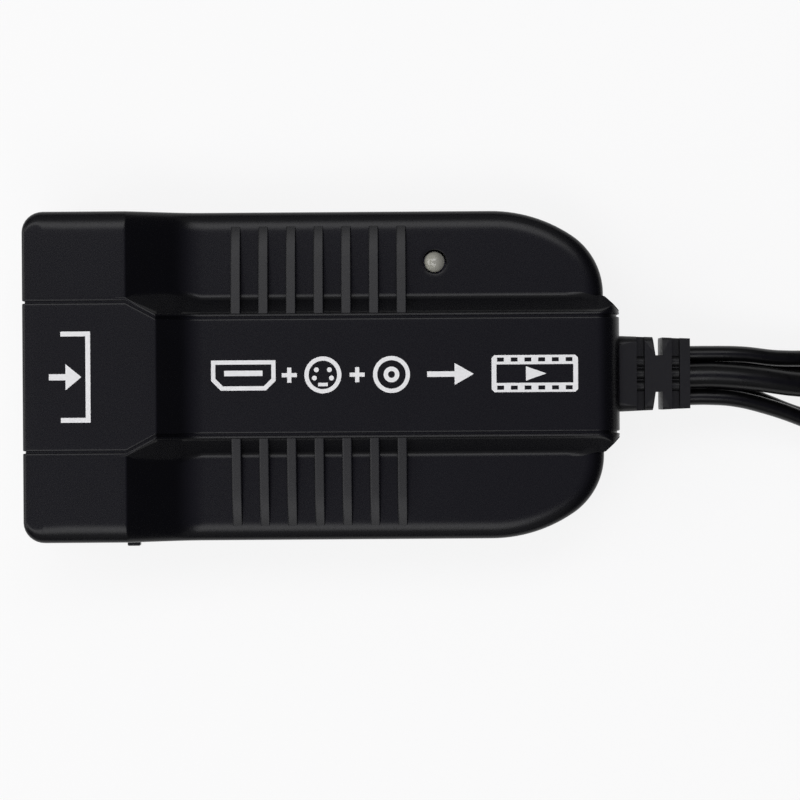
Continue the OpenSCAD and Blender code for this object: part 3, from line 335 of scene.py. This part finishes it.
# Ring of the flat wing round the lamp's hole, with a rolled edge and the hole's wall
lampRing = {
    "hole": 1.76, "edge": [(2.4, 0), (1.92, 0), (1.82, 0.02), (1.775, 0.07)],   # radius and drop
    "edgeDrop": 0.15, "wallDrop": 1.8,
}
squareWays = [(-1, -1), (1, -1), (1, 1), (-1, 1), (-1, -1)]
ringSquare = []
for (x0, y0), (x1, y1) in zip(squareWays, squareWays[1:]):
    for i in range(cells["lamp"]):
        ringSquare.append((lampX + patch * (x0 + (x1 - x0) * i / cells["lamp"]),
                           lampY + patch * (y0 + (y1 - y0) * i / cells["lamp"])))
ringSquare.append(ringSquare[0])
ring = [[(x, y, shell["wingTop"]) for x, y in ringSquare]]
ringTurns = [math.atan2(y - lampY, x - lampX) for x, y in ringSquare]
holeLine = [(lampRing["hole"], lampRing["edgeDrop"]), (lampRing["hole"], lampRing["wallDrop"])]
for radius, drop in lampRing["edge"] + holeLine:
    level = shell["wingTop"] - drop
    ring.append([(lampX + radius * math.cos(t), lampY + radius * math.sin(t), level) for t in ringTurns])
layGrid(skin, ring, True)

# Spine: its middle line runs up the input end, along the block, down the ramp, and over the nose
spine = {
    "crestRound": 0.7, "footRound": 7.0, "rowSpacing": 2.2, "flatInset": 2.2, "flatCells": 3,
    # Out from the top edge and down: the trim groove with its rolled lips, then the rolled edge itself
    "lips": [(-1.5, 0), (-1.05, 0), (-0.98, 0.003), (-0.86, 0.03), (-0.81, 0.1), (-0.79, 0.38), (-0.47, 0.38),
             (-0.45, 0.12), (-0.4, 0.02), (-0.36, 0.004)],
    "edgeRoll": [(-0.3, 0.01), (-0.09, 0.055), (-0.03, 0.1), (0, 0.17)],
    "rollLeast": 0.4, "rollRun": 1.5,   # the roll grows over this run from the crest
    # Each side ends in a fillet on the wing, and its foot stands further out on the ramp
    "filletRound": 1.4, "filletSteps": 6, "filletMost": 0.8, "sideShare": 0.85,
    "rampOut": 0.85, "rampPast": 1.5,
    "lift": 0.004, "footTuck": (0.06, 0.3), "blockTuck": (0.005, 0.5),   # tucks are out and down
    "cornerRun": 3, "cornerStart": 0.15, "portDepth": 0.5, "sameX": 0.001, "tiny": 1e-6,
}
lean = (shell["spineBase"] - shell["spineTop"]) / shell["spineRise"]
spinePath = roundedPath([
    (shell["left"], shell["seam"], 0), (shell["left"], shell["portTop"], 0),
    (shell["left"], shell["blockTop"], shell["endEdge"]), (shell["crest"], shell["blockTop"], 0),
    (spineCrest, shell["blockTop"], spine["crestRound"]), (spineFoot, spineTopZ, spine["footRound"]),
    (shell["nose"], spineTopZ, shell["noseRound"]), (shell["nose"], shell["seam"], 0)], cells["spineArc"])
spineLine = []
for a, b in zip(spinePath, spinePath[1:]):
    spineLine += between(a, b, max(1, round((b - a).length / spine["rowSpacing"])))[:-1]
spineLine.append(spinePath[-1])


def spineHalf(x):
    share = clamped((x - shell["crest"]) / (spineCrest - shell["crest"]))
    return shell["spineBase"] + (shell["spineTop"] - shell["spineBase"]) * share


# On the block the spine lies level with the plate, so its side only tucks under
def blockSide(at, out):
    tuckOut, tuckDown = spine["blockTuck"]
    tuck = at - out * tuckDown
    flush = [(at.x, shell["spineBase"], at.y)] * (spine["filletSteps"] + 2)
    return flush + [(tuck.x, shell["spineBase"] + tuckOut, tuck.y)]


# On ramp and wings the side slopes down from its top edge and runs out in a fillet
def wingSide(at, last):
    edge = Vector(last[1:])
    base = min(heightOn(plateLine, at.x), last[2])
    onRamp = clamped((at.x - shell["crest"]) / (spineFoot + spine["rampPast"] - shell["crest"]))
    foot = Vector((shell["spineBase"] + spine["rampOut"] * math.sin(math.pi * onRamp), base))
    up = edge - foot
    steepness = math.atan2(max(up.y, spine["tiny"]), -up.x + spine["tiny"])
    reach = min(spine["filletRound"] * math.tan(steepness / 2), up.length * spine["filletMost"])
    high, low = foot + up.normalized() * reach, foot + Vector((reach, 0))
    soft = [high + (edge - high) * spine["sideShare"]]
    for share in between(0, 1, spine["filletSteps"]):
        soft.append(high * (1 - share) ** 2 + foot * 2 * share * (1 - share) + low * share ** 2)
    tuckOut, tuckDown = spine["footTuck"]
    return [(at.x, y, z + spine["lift"]) for y, z in soft] + [(at.x, low.x + tuckOut, base - tuckDown)]


# At the nose the side falls to a diagonal corner and then to the seam
def noseSide(at, last, cornerAt):
    meet = spineTopZ - (cornerAt - shell["spineTop"]) / lean
    edge, foot = Vector(last), Vector((at.x, cornerAt, min(at.y, max(meet, shell["wingTop"]))))
    shares = between(spine["cornerStart"], 1, spine["filletSteps"] + 1)
    fall = [tuple(edge + (foot - edge) * share) for share in shares]
    return fall + [(at.x, cornerAt, min(at.y, shell["seam"]))]


# One row across half the spine: its flat top, the groove, the rolled edge and the side
def spineRow(i):
    at = spineLine[i]
    run = (spineLine[min(i + 1, len(spineLine) - 1)] - spineLine[max(i - 1, 0)]).normalized()
    out = Vector((-run.y, run.x))
    half = spineHalf(at.x)
    cornerAt = shell["spineBase"] - max(0, at.x - wingEnd)
    edge = half
    if at.x > shell["nose"] - shell["noseRound"]:
        edge = max(min(half + max(0, spineTopZ - at.y) * lean, cornerAt), half)
    onBlock = at.x < shell["crest"] - spine["sameX"]
    roll = 0 if onBlock else min(1, (at.x - shell["crest"]) / spine["rollRun"])
    rollWidth = spine["rollLeast"] + (1 - spine["rollLeast"]) * roll
    row = [(y, 0) for y in between(0, half - spine["flatInset"], spine["flatCells"])]
    row += [(half + u, depth) for u, depth in spine["lips"]]
    row += [(edge + u * rollWidth, depth * roll) for u, depth in spine["edgeRoll"]]
    points = [(at.x - out.x * depth, y, at.y - out.y * depth) for y, depth in row]
    if onBlock:
        return points + blockSide(at, out)
    if at.x < wingEnd - spine["cornerRun"]:
        return points + wingSide(at, points[-1])
    return points + noseSide(at, points[-1], cornerAt)


# Cells of the spine left open for the input socket
def atPort(at):
    onEnd = at.x < shell["left"] + spine["portDepth"]
    return onEnd and at.z < shell["portTop"] and abs(at.y) < shell["portHalf"]


for side in (1, -1):
    grid = [[(x, side * y, z) for x, y, z in spineRow(i)] for i in range(len(spineLine))]
    layGrid(skin, grid, side < 0, atPort)

# Ribs lean from the spine's top edge to the outer part of each wing
ribs = {
    "count": 7, "width": 1.5, "pitch": 4.04, "first": -12.7, "outer": 22.1, "cells": 16,
    "below": 0.08, "rootIn": 0.02, "rootOut": 0.3,   # at the spine
    "toe": 0.3, "sinkEnd": 0.4, "runOut": 4.5, "endRun": 0.15, "endDrop": 0.6,   # at the outer end
    "round": 0.16, "sideDepth": 3, "sink": 0.5,
    "roundLine": [(0.6, 0), (0.74, 0), (0.88, 0.1), (0.96, 0.4), (1, 1)],   # shares of half width and round
}
halfRib = [(u, -ribs["round"] * drop) for u, drop in ribs["roundLine"]] + [(1, -ribs["sideDepth"])]
across = [(-u, v) for u, v in reversed(halfRib)] + [(0, 0)] + halfRib
ribTop = spineTopZ - ribs["below"]
ribBottom = shell["wingTop"] - ribs["sink"]
ribFall = (ribTop - shell["wingTop"] - ribs["toe"]) / (ribs["outer"] - shell["spineTop"])
ribPlaces = between(shell["spineTop"] + ribs["rootOut"], ribs["outer"], ribs["cells"])
for k in range(ribs["count"]):
    ribX = ribs["first"] + k * ribs["pitch"]
    for side in (1, -1):
        grid = []
        for y in [shell["spineTop"] - ribs["rootIn"]] + ribPlaces:
            past = max(0, y - ribs["outer"] + ribs["runOut"])
            top = ribTop - ribFall * (y - shell["spineTop"]) - ribs["sinkEnd"] * (past / ribs["runOut"]) ** 2
            row = [(ribX + u * ribs["width"] / 2, side * y, max(top + v, ribBottom)) for u, v in across]
            grid.append(row)
        endY = side * (ribs["outer"] + ribs["endRun"])
        grid.append([(x, endY, z - ribs["endDrop"]) for x, _, z in grid[-1]])
        layGrid(skin, grid, side > 0)

bmesh.ops.remove_doubles(skin, verts=skin.verts, dist=joinWithin)
bmesh.ops.dissolve_degenerate(skin, edges=skin.edges, dist=flatWithin)
skinMesh = meshData("top_shell_skin", skin, shell["sharpAngle"])
topSkin = addObject("top_shell_skin", skinMesh, stands="top_shell")
print("top shell skin has", len(skinMesh.polygons), "faces")


# Printed signs, a film of ink: socket, round plug, phono plug, arrow, film frame, and input on the block
ink = {
    "film": 0.02, "lift": 0.012, "stroke": 0.62, "tall": 5.4, "line": 0.1, "sides": 40,
    "socket": {"at": -11.6, "wide": 9.4, "tall": 4.4, "cheek": 1.4, "innerCheek": 1.1,
               "tongue": {"ends": (-14.4, -8.8), "low": 0.1, "high": 0.7}},
    "plus": {"at": (-4.9, 5.0), "arm": 1.1, "half": 0.3},
    "roundPlug": {"at": 0, "pins": [(-0.95, 0.75), (0.95, 0.75), (-1.25, -0.45), (1.25, -0.45)],
                  "pin": 0.36, "pinSides": 16, "key": {"half": 0.7, "low": 1.65, "high": 1.15}},
    "phono": {"at": 10, "pin": 1.15, "pinHole": 0.5},
    "arrow": {"tail": 15.2, "neck": 19.2, "tip": 22, "shaft": 0.4, "head": 1.6},
    "filmFrame": {"ends": (24.6, 37.2), "cut": 0.4, "window": (25.3, 36.5), "windowHalf": 1.35,
                  "holes": 6, "firstHole": 25.4, "holePitch": 2, "holeWide": 1.0, "holeTall": 0.6,
                  "holeRows": (-2.35, 1.75), "play": (29.6, 32.6), "playHalf": 1.05},
    "bracket": {"open": -37.9, "back": -33.6, "inside": -34.3, "half": 6.6, "insideHalf": 5.9},
    "inputArrow": {"tail": -39.6, "neck": -37.2, "tip": -34.9, "shaft": 0.45, "head": 1.9},
}
inkMesh = bmesh.new()


def inkShape(outer, holes, z):
    edges = []
    for loop in [outer] + holes:
        verts = [inkMesh.verts.new((x * mm, y * mm, (z + ink["lift"]) * mm)) for x, y in loop]
        edges += [inkMesh.edges.new((a, b)) for a, b in zip(verts, verts[1:] + verts[:1])]
    made = bmesh.ops.triangle_fill(inkMesh, edges=edges, use_beauty=True, normal=(0, 0, 1))
    faces = [g for g in made["geom"] if isinstance(g, bmesh.types.BMFace)]
    raised = bmesh.ops.extrude_face_region(inkMesh, geom=faces)
    bmesh.ops.translate(inkMesh, verts=[g for g in raised["geom"] if isinstance(g, bmesh.types.BMVert)],
                        vec=(0, 0, ink["film"] * mm))


def circleLoop(x, y, radius, count):
    return [(x + radius * math.cos(2 * math.pi * i / count), y + radius * math.sin(2 * math.pi * i / count))
            for i in range(count)]


def boxLoop(x0, y0, x1, y1):
    return [(x0, y0), (x1, y0), (x1, y1), (x0, y1)]


def cutBoxLoop(x0, y0, x1, y1, cut):
    return [(x0 + cut, y0), (x1 - cut, y0), (x1, y0 + cut), (x1, y1 - cut),
            (x1 - cut, y1), (x0 + cut, y1), (x0, y1 - cut), (x0, y0 + cut)]


def socketLoop(x, y, w, h, cheek):
    return [(x - w / 2, y + h / 2), (x - w / 2, y - h / 2 + cheek), (x - w / 2 + cheek, y - h / 2),
            (x + w / 2 - cheek, y - h / 2), (x + w / 2, y - h / 2 + cheek), (x + w / 2, y + h / 2)]


def plusLoop(x, y, arm, half):
    return [(x - half, y - arm), (x + half, y - arm), (x + half, y - half), (x + arm, y - half),
            (x + arm, y + half), (x + half, y + half), (x + half, y + arm), (x - half, y + arm),
            (x - half, y + half), (x - arm, y + half), (x - arm, y - half), (x - half, y - half)]


def arrowLoop(y, tail, neck, tip, shaft, head):
    return [(tail, y - shaft), (neck, y - shaft), (neck, y - head), (tip, y),
            (neck, y + head), (neck, y + shaft), (tail, y + shaft)]


inkZ, stroke, tall, signY = spineTopZ, ink["stroke"], ink["tall"], ink["line"]


def inkRing(x, outer, inner):
    inkShape(circleLoop(x, signY, outer, ink["sides"]), [circleLoop(x, signY, inner, ink["sides"])], inkZ)


socket, tongue = ink["socket"], ink["socket"]["tongue"]
socketHole = socketLoop(socket["at"], signY, socket["wide"] - 2 * stroke, socket["tall"] - 2 * stroke,
                        socket["innerCheek"])
inkShape(socketLoop(socket["at"], signY, socket["wide"], socket["tall"], socket["cheek"]), [socketHole], inkZ)
tongueLeft, tongueRight = tongue["ends"]
inkShape(boxLoop(tongueLeft, signY - tongue["low"], tongueRight, signY + tongue["high"]), [], inkZ)
for plusX in ink["plus"]["at"]:
    inkShape(plusLoop(plusX, signY, ink["plus"]["arm"], ink["plus"]["half"]), [], inkZ)
plug, key = ink["roundPlug"], ink["roundPlug"]["key"]
inkRing(plug["at"], tall / 2, tall / 2 - stroke)
for pinX, pinY in plug["pins"]:
    inkShape(circleLoop(pinX, signY + pinY, plug["pin"], plug["pinSides"]), [], inkZ)
inkShape(boxLoop(-key["half"], signY - key["low"], key["half"], signY - key["high"]), [], inkZ)
phono = ink["phono"]
inkRing(phono["at"], tall / 2, tall / 2 - stroke)
inkRing(phono["at"], phono["pin"], phono["pinHole"])
inkShape(arrowLoop(signY, **ink["arrow"]), [], inkZ)
film, filmHoles = ink["filmFrame"], []
for i in range(film["holes"]):
    x0 = film["firstHole"] + film["holePitch"] * i
    x1 = film["firstHole"] + film["holeWide"] + film["holePitch"] * i
    filmHoles += [boxLoop(x0, signY + y, x1, signY + y + film["holeTall"]) for y in film["holeRows"]]
window = boxLoop(film["window"][0], signY - film["windowHalf"], film["window"][1], signY + film["windowHalf"])
filmEdge = cutBoxLoop(film["ends"][0], signY - tall / 2, film["ends"][1], signY + tall / 2, film["cut"])
inkShape(filmEdge, filmHoles + [window], inkZ)
playBack, playTip = film["play"]
playLoop = [(playBack, signY - film["playHalf"]), (playTip, signY), (playBack, signY + film["playHalf"])]
inkShape(playLoop, [], inkZ)
# On the block: an arrow going into an open bracket, the sign for an input
mouth, back, within = (ink["bracket"][n] for n in ("open", "back", "inside"))
half, halfWithin = ink["bracket"]["half"], ink["bracket"]["insideHalf"]
inkShape([(mouth, -half), (back, -half), (back, half), (mouth, half),
          (mouth, halfWithin), (within, halfWithin), (within, -halfWithin), (mouth, -halfWithin)],
         [], shell["blockTop"])
inkShape(arrowLoop(0, **ink["inputArrow"]), [], shell["blockTop"])
signs = addObject("printed_signs", meshData("printed_signs", inkMesh))
print("printed signs laid")


# A grid for a line of radius and height turned round an upright axis
def turnedGrid(line, x, y, sides):
    turns = between(0, 2 * math.pi, sides)
    return [[(x + r * math.cos(t), y + r * math.sin(t), z) for t in turns] for r, z in line]


# Lamp's inside: cup on its leg, die in the cup, and post, seen through the milky lens
lampInside = {
    "sides": 24, "sharpAngle": 40,
    "cupAt": -0.35,   # along the box from the lamp's axis
    "cup": [(0.3, 10.2), (0.3, 12.1), (0.75, 12.35), (1.03, 13.2), (0.95, 13.3), (0.45, 12.6),
            (0.02, 12.56)],
    "postAt": 0.95, "post": [(0.25, 10.2), (0.25, 12.9), (0.18, 13.2), (0.02, 13.24)],
    "die": 0.32, "dieLine": [(1, 12.55), (1, 12.78), (0.85, 12.8), (0.02, 12.8)],   # share of size, height
}
inside = bmesh.new()
cupX, postX = lampX + lampInside["cupAt"], lampX + lampInside["postAt"]
layGrid(inside, turnedGrid(lampInside["cup"], cupX, lampY, lampInside["sides"]), True)
layGrid(inside, turnedGrid(lampInside["post"], postX, lampY, lampInside["sides"]), True)
halfDie = lampInside["die"] / 2
dieCorners = [(u * halfDie, v * halfDie) for u, v in squareWays]
layGrid(inside, [[(cupX + u * share, lampY + v * share, z) for u, v in dieCorners]
                 for share, z in lampInside["dieLine"]], True)
insideMesh = meshData("lamp_inside", inside, lampInside["sharpAngle"])
lampFrame = addObject("lamp_inside", insideMesh)

# Lamp's lens: flange, straight wall and a shallow dome through the wing's hole
lens = {
    "radius": 1.5, "flange": 1.9, "base": 9.95, "flangeTop": 10.95, "top": 15.25, "domeRound": 1.75,
    "sides": 48, "domeSteps": 12, "baseHole": 0.001, "tip": 0.0005, "sharpAngle": 40,
}
lensMesh = bmesh.new()
lensLine = [(lens["baseHole"], lens["base"]), (lens["flange"], lens["base"]),
            (lens["flange"], lens["flangeTop"]), (lens["radius"], lens["flangeTop"])]
domeMiddle = lens["top"] - lens["domeRound"]
domeTurn = math.asin(lens["radius"] / lens["domeRound"])
lensLine += [(lens["domeRound"] * math.sin(t) + lens["tip"], domeMiddle + lens["domeRound"] * math.cos(t))
             for t in between(domeTurn, 0, lens["domeSteps"])]
layGrid(lensMesh, turnedGrid(lensLine, lampX, lampY, lens["sides"]), True)
bmesh.ops.remove_doubles(lensMesh, verts=lensMesh.verts, dist=joinWithin)
lensData = meshData("lamp_lens", lensMesh, lens["sharpAngle"])
lampLens = addObject("lamp_lens", lensData, stands="led_lens")
print("lamp made")


# Materials
def linear(hexColour):
    parts = [int(hexColour[i:i + 2], 16) / 255 for i in (1, 3, 5)]
    return tuple(c / 12.92 if c <= 0.04045 else ((c + 0.055) / 1.055) ** 2.4 for c in parts) + (1.0,)


def addNode(tree, kind, settings, inputs):
    node = tree.nodes.new("ShaderNode" + kind)
    for key, value in settings.items():
        setattr(node, key, value)
    for key, value in inputs.items():
        if isinstance(value, bpy.types.NodeSocket):
            tree.links.new(value, node.inputs[key])
        else:
            node.inputs[key].default_value = value
    return node


# Each look: two tones mixed in clouds of cloudMm, and a grain of grainMm that roughens and lifts the surface
looks = {
    # ABS moulded in a spark-eroded tool: deep black with a soft sheen; its pits are drawn coarser, to show
    "abs_spark_moulded": {
        "tones": ("#0b0b0d", "#0f0f12"), "cloudMm": 9, "grainMm": 0.22, "lift": 0.0025,
        "rough": (0.25, 0.31), "sheen": 0.25},
    # Soft PVC moulded in a blasted tool: duller than the case; its blasted grain is drawn coarser, to show
    "pvc_soft_moulded": {
        "tones": ("#0b0b0d", "#111113"), "cloudMm": 3, "grainMm": 0.3, "lift": 0.012,
        "rough": (0.38, 0.5), "sheen": 0.3},
    # PVC drawn through a die: smooth and glossy along its length, with faint waves
    "pvc_extruded": {
        "tones": ("#050506", "#09090a"), "cloudMm": 6, "grainMm": 1.2, "lift": 0.006,
        "rough": (0.26, 0.34), "sheen": 0.27},
    # Ink squeezed through a screen: opaque white, chalky, with pinholes at the mesh spacing
    "ink_screen_printed": {
        "tones": ("#fbfbf9", "#eeeeec"), "cloudMm": 0.7, "grainMm": 0.12, "lift": 0.004,
        "rough": (0.5, 0.62)},
    # Nickel plate on drawn brass sheet: bright and slightly warm, its rolling lines drawn coarser, to show
    "nickel_plated": {
        "tones": ("#cfcac2", "#bcb7ae"), "cloudMm": 4, "grainMm": 0.25, "lift": 0.002,
        "rough": (0.18, 0.3), "metal": 1.0, "stretch": (0.08, 1, 1)},
    # Zinc plated steel: grey with a cool cast, its fine marks drawn coarser, to show
    "steel_zinc_plated": {
        "tones": ("#b9bcc0", "#a4a8ae"), "cloudMm": 2, "grainMm": 0.2, "lift": 0.003,
        "rough": (0.25, 0.4), "metal": 1.0},
    # Tin dipped wire: soft bright grey, a little wavy where the metal ran
    "tin_dipped": {
        "tones": ("#d2d2cd", "#bfbfba"), "cloudMm": 1.2, "grainMm": 0.35, "lift": 0.006,
        "rough": (0.2, 0.34), "metal": 1.0},
    # Aluminium drawn into cans: pale, with long lines up the wall that are drawn coarser, to show
    "aluminium_drawn": {
        "tones": ("#dcdde0", "#c9cbd0"), "cloudMm": 2, "grainMm": 0.2, "lift": 0.002,
        "rough": (0.28, 0.38), "metal": 1.0, "stretch": (1, 1, 0.1)},
    # Gold flash over nickel: thin warm plate, its wiping marks along each contact drawn coarser, to show
    "gold_flash_plated": {
        "tones": ("#e8bf6a", "#d9ab52"), "cloudMm": 1, "grainMm": 0.15, "lift": 0.002,
        "rough": (0.2, 0.3), "metal": 1.0, "stretch": (0.1, 1, 1)},
    # Glass laminate under solder mask: deep green and glossy, the weave faint below it
    "laminate_solder_mask": {
        "tones": ("#0d3f22", "#124b2a"), "cloudMm": 1.4, "grainMm": 0.5, "lift": 0.006,
        "rough": (0.22, 0.34)},
    # Filled epoxy moulded round a chip: flat charcoal, its sandy grain drawn coarser, to show
    "epoxy_filled_moulded": {
        "tones": ("#19191b", "#222224"), "cloudMm": 1.5, "grainMm": 0.18, "lift": 0.01,
        "rough": (0.5, 0.62)},
    # Epoxy with a diffusing filler, cast in a polished cup: pale and milky, with a mirror smooth dome
    "epoxy_milky_cast": {
        "tones": ("#b4b3a7", "#acab9e"), "cloudMm": 1, "grainMm": 0.8, "lift": 0.001,
        "rough": (0.05, 0.09), "ior": 1.55, "through": 0.2},
}
# Acetal moulded in three colours: dense colour and a waxy gloss, its fine grain drawn coarser, to show
acetalTones = {
    "yellow": ("#e8b90c", "#dcab06"), "white": ("#eceae4", "#e2e0d9"), "red": ("#b3141a", "#a20f15")}
for colour, tones in acetalTones.items():
    looks["acetal_" + colour + "_moulded"] = {
        "tones": tones, "cloudMm": 3, "grainMm": 0.3, "lift": 0.004, "rough": (0.26, 0.36)}

materials = {}
for name, look in looks.items():
    material = bpy.data.materials.new(name)
    material.use_nodes = True
    tree = material.node_tree
    tree.nodes.clear()
    where = addNode(tree, "TexCoord", {}, {})
    stretched = addNode(tree, "Mapping", {}, {
        "Vector": where.outputs["Object"], "Scale": look.get("stretch", (1, 1, 1))})
    cloud = addNode(tree, "TexNoise", {}, {
        "Vector": stretched.outputs[0], "Scale": 1 / (look["cloudMm"] * mm), "Detail": 3.0})
    grain = addNode(tree, "TexNoise", {}, {
        "Vector": stretched.outputs[0], "Scale": 1 / (look["grainMm"] * mm), "Detail": 2.0})
    tone = addNode(tree, "Mix", {"data_type": "RGBA"}, {
        0: cloud.outputs["Fac"], 6: linear(look["tones"][0]), 7: linear(look["tones"][1])})
    rough = addNode(tree, "MapRange", {}, {
        "Value": grain.outputs["Fac"], "From Min": 0.3, "From Max": 0.7,   # where most of the noise lies
        "To Min": look["rough"][0], "To Max": look["rough"][1]})
    bump = addNode(tree, "Bump", {}, {
        "Height": grain.outputs["Fac"], "Strength": 0.5, "Distance": look["lift"] * mm})
    surface = addNode(tree, "BsdfPrincipled", {}, {
        "Base Color": tone.outputs[2], "Roughness": rough.outputs[0], "Normal": bump.outputs[0],
        "Metallic": look.get("metal", 0.0), "Transmission Weight": look.get("through", 0.0),
        "Specular IOR Level": look.get("sheen", 0.5)})
    if "ior" in look:
        surface.inputs["IOR"].default_value = look["ior"]
    addNode(tree, "OutputMaterial", {}, {"Surface": surface.outputs[0]})
    materials[name] = material

wears = {
    "abs_spark_moulded": ["bottom_shell", "source_button", "switch_plunger"],
    "pvc_soft_moulded": [
        "strain_relief", "data_plug_grip", "svideo_grip", "video_grip", "left_audio_grip",
        "right_audio_grip"],
    "pvc_extruded": ["lead_ends"],
    "nickel_plated": [
        "hd_socket_shell", "data_plug_shell", "svideo_shield", "video_barrel", "left_audio_barrel",
        "right_audio_barrel"],
    "steel_zinc_plated": ["case_screws", "switch_cover"],
    "tin_dipped": ["chip_legs", "led_legs", "lead_joints"],
    "aluminium_drawn": ["crystal_can", "filter_capacitors"],
    "gold_flash_plated": ["hd_socket_contacts", "data_plug_contacts"],
    "laminate_solder_mask": ["main_board"],
    "epoxy_filled_moulded": [
        "capture_chip", "decoder_chip", "memory_chip", "voltage_regulator", "supply_coil", "switch_body",
        "hd_socket_tongue", "svideo_insert"],
    "acetal_yellow_moulded": ["video_insert"],
    "acetal_white_moulded": ["left_audio_insert", "data_plug_tongue"],
    "acetal_red_moulded": ["right_audio_insert"],
}
dressed = [(nodes[n], name) for name, members in wears.items() for n in members]
dressed += [(piece, "pvc_extruded") for piece in leadPieces]
dressed += [(topSkin, "abs_spark_moulded"), (signs, "ink_screen_printed"),
            (lampFrame, "tin_dipped"), (lampLens, "epoxy_milky_cast")]
for piece, name in dressed:
    piece.data.materials.clear()
    piece.data.materials.append(materials[name])
print("materials on", len(dressed), "pieces")

# Rolled edges on pieces that keep their solids' shapes, with widths in millimetres
rolled = {
    "joinWithin": 1e-6, "segments": 3, "sharperThan": 40, "evenness": 90,
    "widths": {
        "strain_relief": 0.22, "bottom_shell": 0.15, "source_button": 0.18, "data_plug_grip": 0.5,
        "data_plug_shell": 0.12, "svideo_grip": 0.3, "video_grip": 0.2, "left_audio_grip": 0.2,
        "right_audio_grip": 0.2},
}
for node, width in rolled["widths"].items():
    piece = nodes[node]
    weld = piece.modifiers.new("joined_faces", "WELD")
    weld.merge_threshold = rolled["joinWithin"]
    bevel = piece.modifiers.new("rolled_edges", "BEVEL")
    bevel.width = width * mm
    bevel.segments = rolled["segments"]
    bevel.limit_method = "ANGLE"
    bevel.angle_limit = math.radians(rolled["sharperThan"])
    bevel.use_clamp_overlap = True
    even = piece.modifiers.new("even_shading", "WEIGHTED_NORMAL")
    even.weight = rolled["evenness"]
print("edges rolled on", len(rolled["widths"]), "pieces")


# Floor: painted board, matt white, pale to the eye and in mirrors, with the shadow left on it
floorBoard = {
    "half": 12.0,   # metres, wide enough to fill low views too
    "paint": "#f4f4f2", "pale": 0.85,
}
floorCorners = [(u * floorBoard["half"], v * floorBoard["half"], 0) for u, v in squareWays[:4]]
floorMesh = bpy.data.meshes.new("floor")
floorMesh.from_pydata(floorCorners, [], [(0, 1, 2, 3)])
floor = bpy.data.objects.new("floor", floorMesh)
bpy.context.scene.collection.objects.link(floor)
board = bpy.data.materials.new("board_matt_painted")
board.use_nodes = True
tree = board.node_tree
tree.nodes.clear()
rays = addNode(tree, "LightPath", {}, {})
seen = addNode(tree, "Math", {"operation": "MAXIMUM"}, {
    0: rays.outputs["Is Camera Ray"], 1: rays.outputs["Is Glossy Ray"]})
shown = addNode(tree, "Math", {"operation": "MAXIMUM"}, {
    0: seen.outputs[0], 1: rays.outputs["Is Transmission Ray"]})
paint = addNode(tree, "BsdfDiffuse", {}, {"Color": linear(floorBoard["paint"])})
glow = addNode(tree, "Emission", {}, {"Color": (1, 1, 1, 1), "Strength": 1.0})
pale = addNode(tree, "MixShader", {}, {0: floorBoard["pale"], 1: paint.outputs[0], 2: glow.outputs[0]})
mixed = addNode(tree, "MixShader", {}, {0: shown.outputs[0], 1: paint.outputs[0], 2: pale.outputs[0]})
addNode(tree, "OutputMaterial", {}, {"Surface": mixed.outputs[0]})
floorMesh.materials.append(board)

# World: dim blue overhead, nearly dark lower down
world = bpy.data.worlds.new("studio")
bpy.context.scene.world = world
world.use_nodes = True
tree = world.node_tree
tree.nodes.clear()
outward = addNode(tree, "TexCoord", {}, {})
split = addNode(tree, "SeparateXYZ", {}, {0: outward.outputs["Generated"]})
rise = addNode(tree, "MapRange", {}, {
    "Value": split.outputs["Z"], "From Min": 0.7, "To Min": 0.02, "To Max": 0.27})
sky = addNode(tree, "Background", {}, {"Color": (0.64, 0.6, 1, 1), "Strength": rise.outputs[0]})
addNode(tree, "OutputWorld", {}, {"Surface": sky.outputs[0]})

# Lights in metres: soft boxes and fills along both long sides, a key beyond the input end, none by the leads
lights = {
    "soft_box_far": {"at": (-0.1, 0.45, 1.0), "size": (1.0, 0.42), "watts": 3.7},
    "soft_box_near": {"at": (-0.2, -0.45, 1.0), "size": (1.0, 0.42), "watts": 3.7},
    "side_fill_far": {"at": (0, 1.1, 0.75), "size": (1.5, 0.9), "watts": 1.2},
    "side_fill_near": {"at": (0, -1.1, 0.75), "size": (1.5, 0.9), "watts": 1.2},
    "key_box": {"at": (-1.3, 0, 0.75), "size": (1.6, 0.9), "watts": 11.0},
}
for name, setting in lights.items():
    lamp = bpy.data.lights.new(name, "AREA")
    lamp.shape = "RECTANGLE"
    lamp.size, lamp.size_y = setting["size"]
    lamp.energy = setting["watts"]
    light = bpy.data.objects.new(name, lamp)
    light.location = setting["at"]
    light.visible_camera = False   # low views look past the boxes
    light.rotation_euler = (-Vector(setting["at"])).to_track_quat("-Z", "Y").to_euler()
    bpy.context.scene.collection.objects.link(light)
bpy.context.scene.view_settings.view_transform = "Standard"
print("floor and lights set")
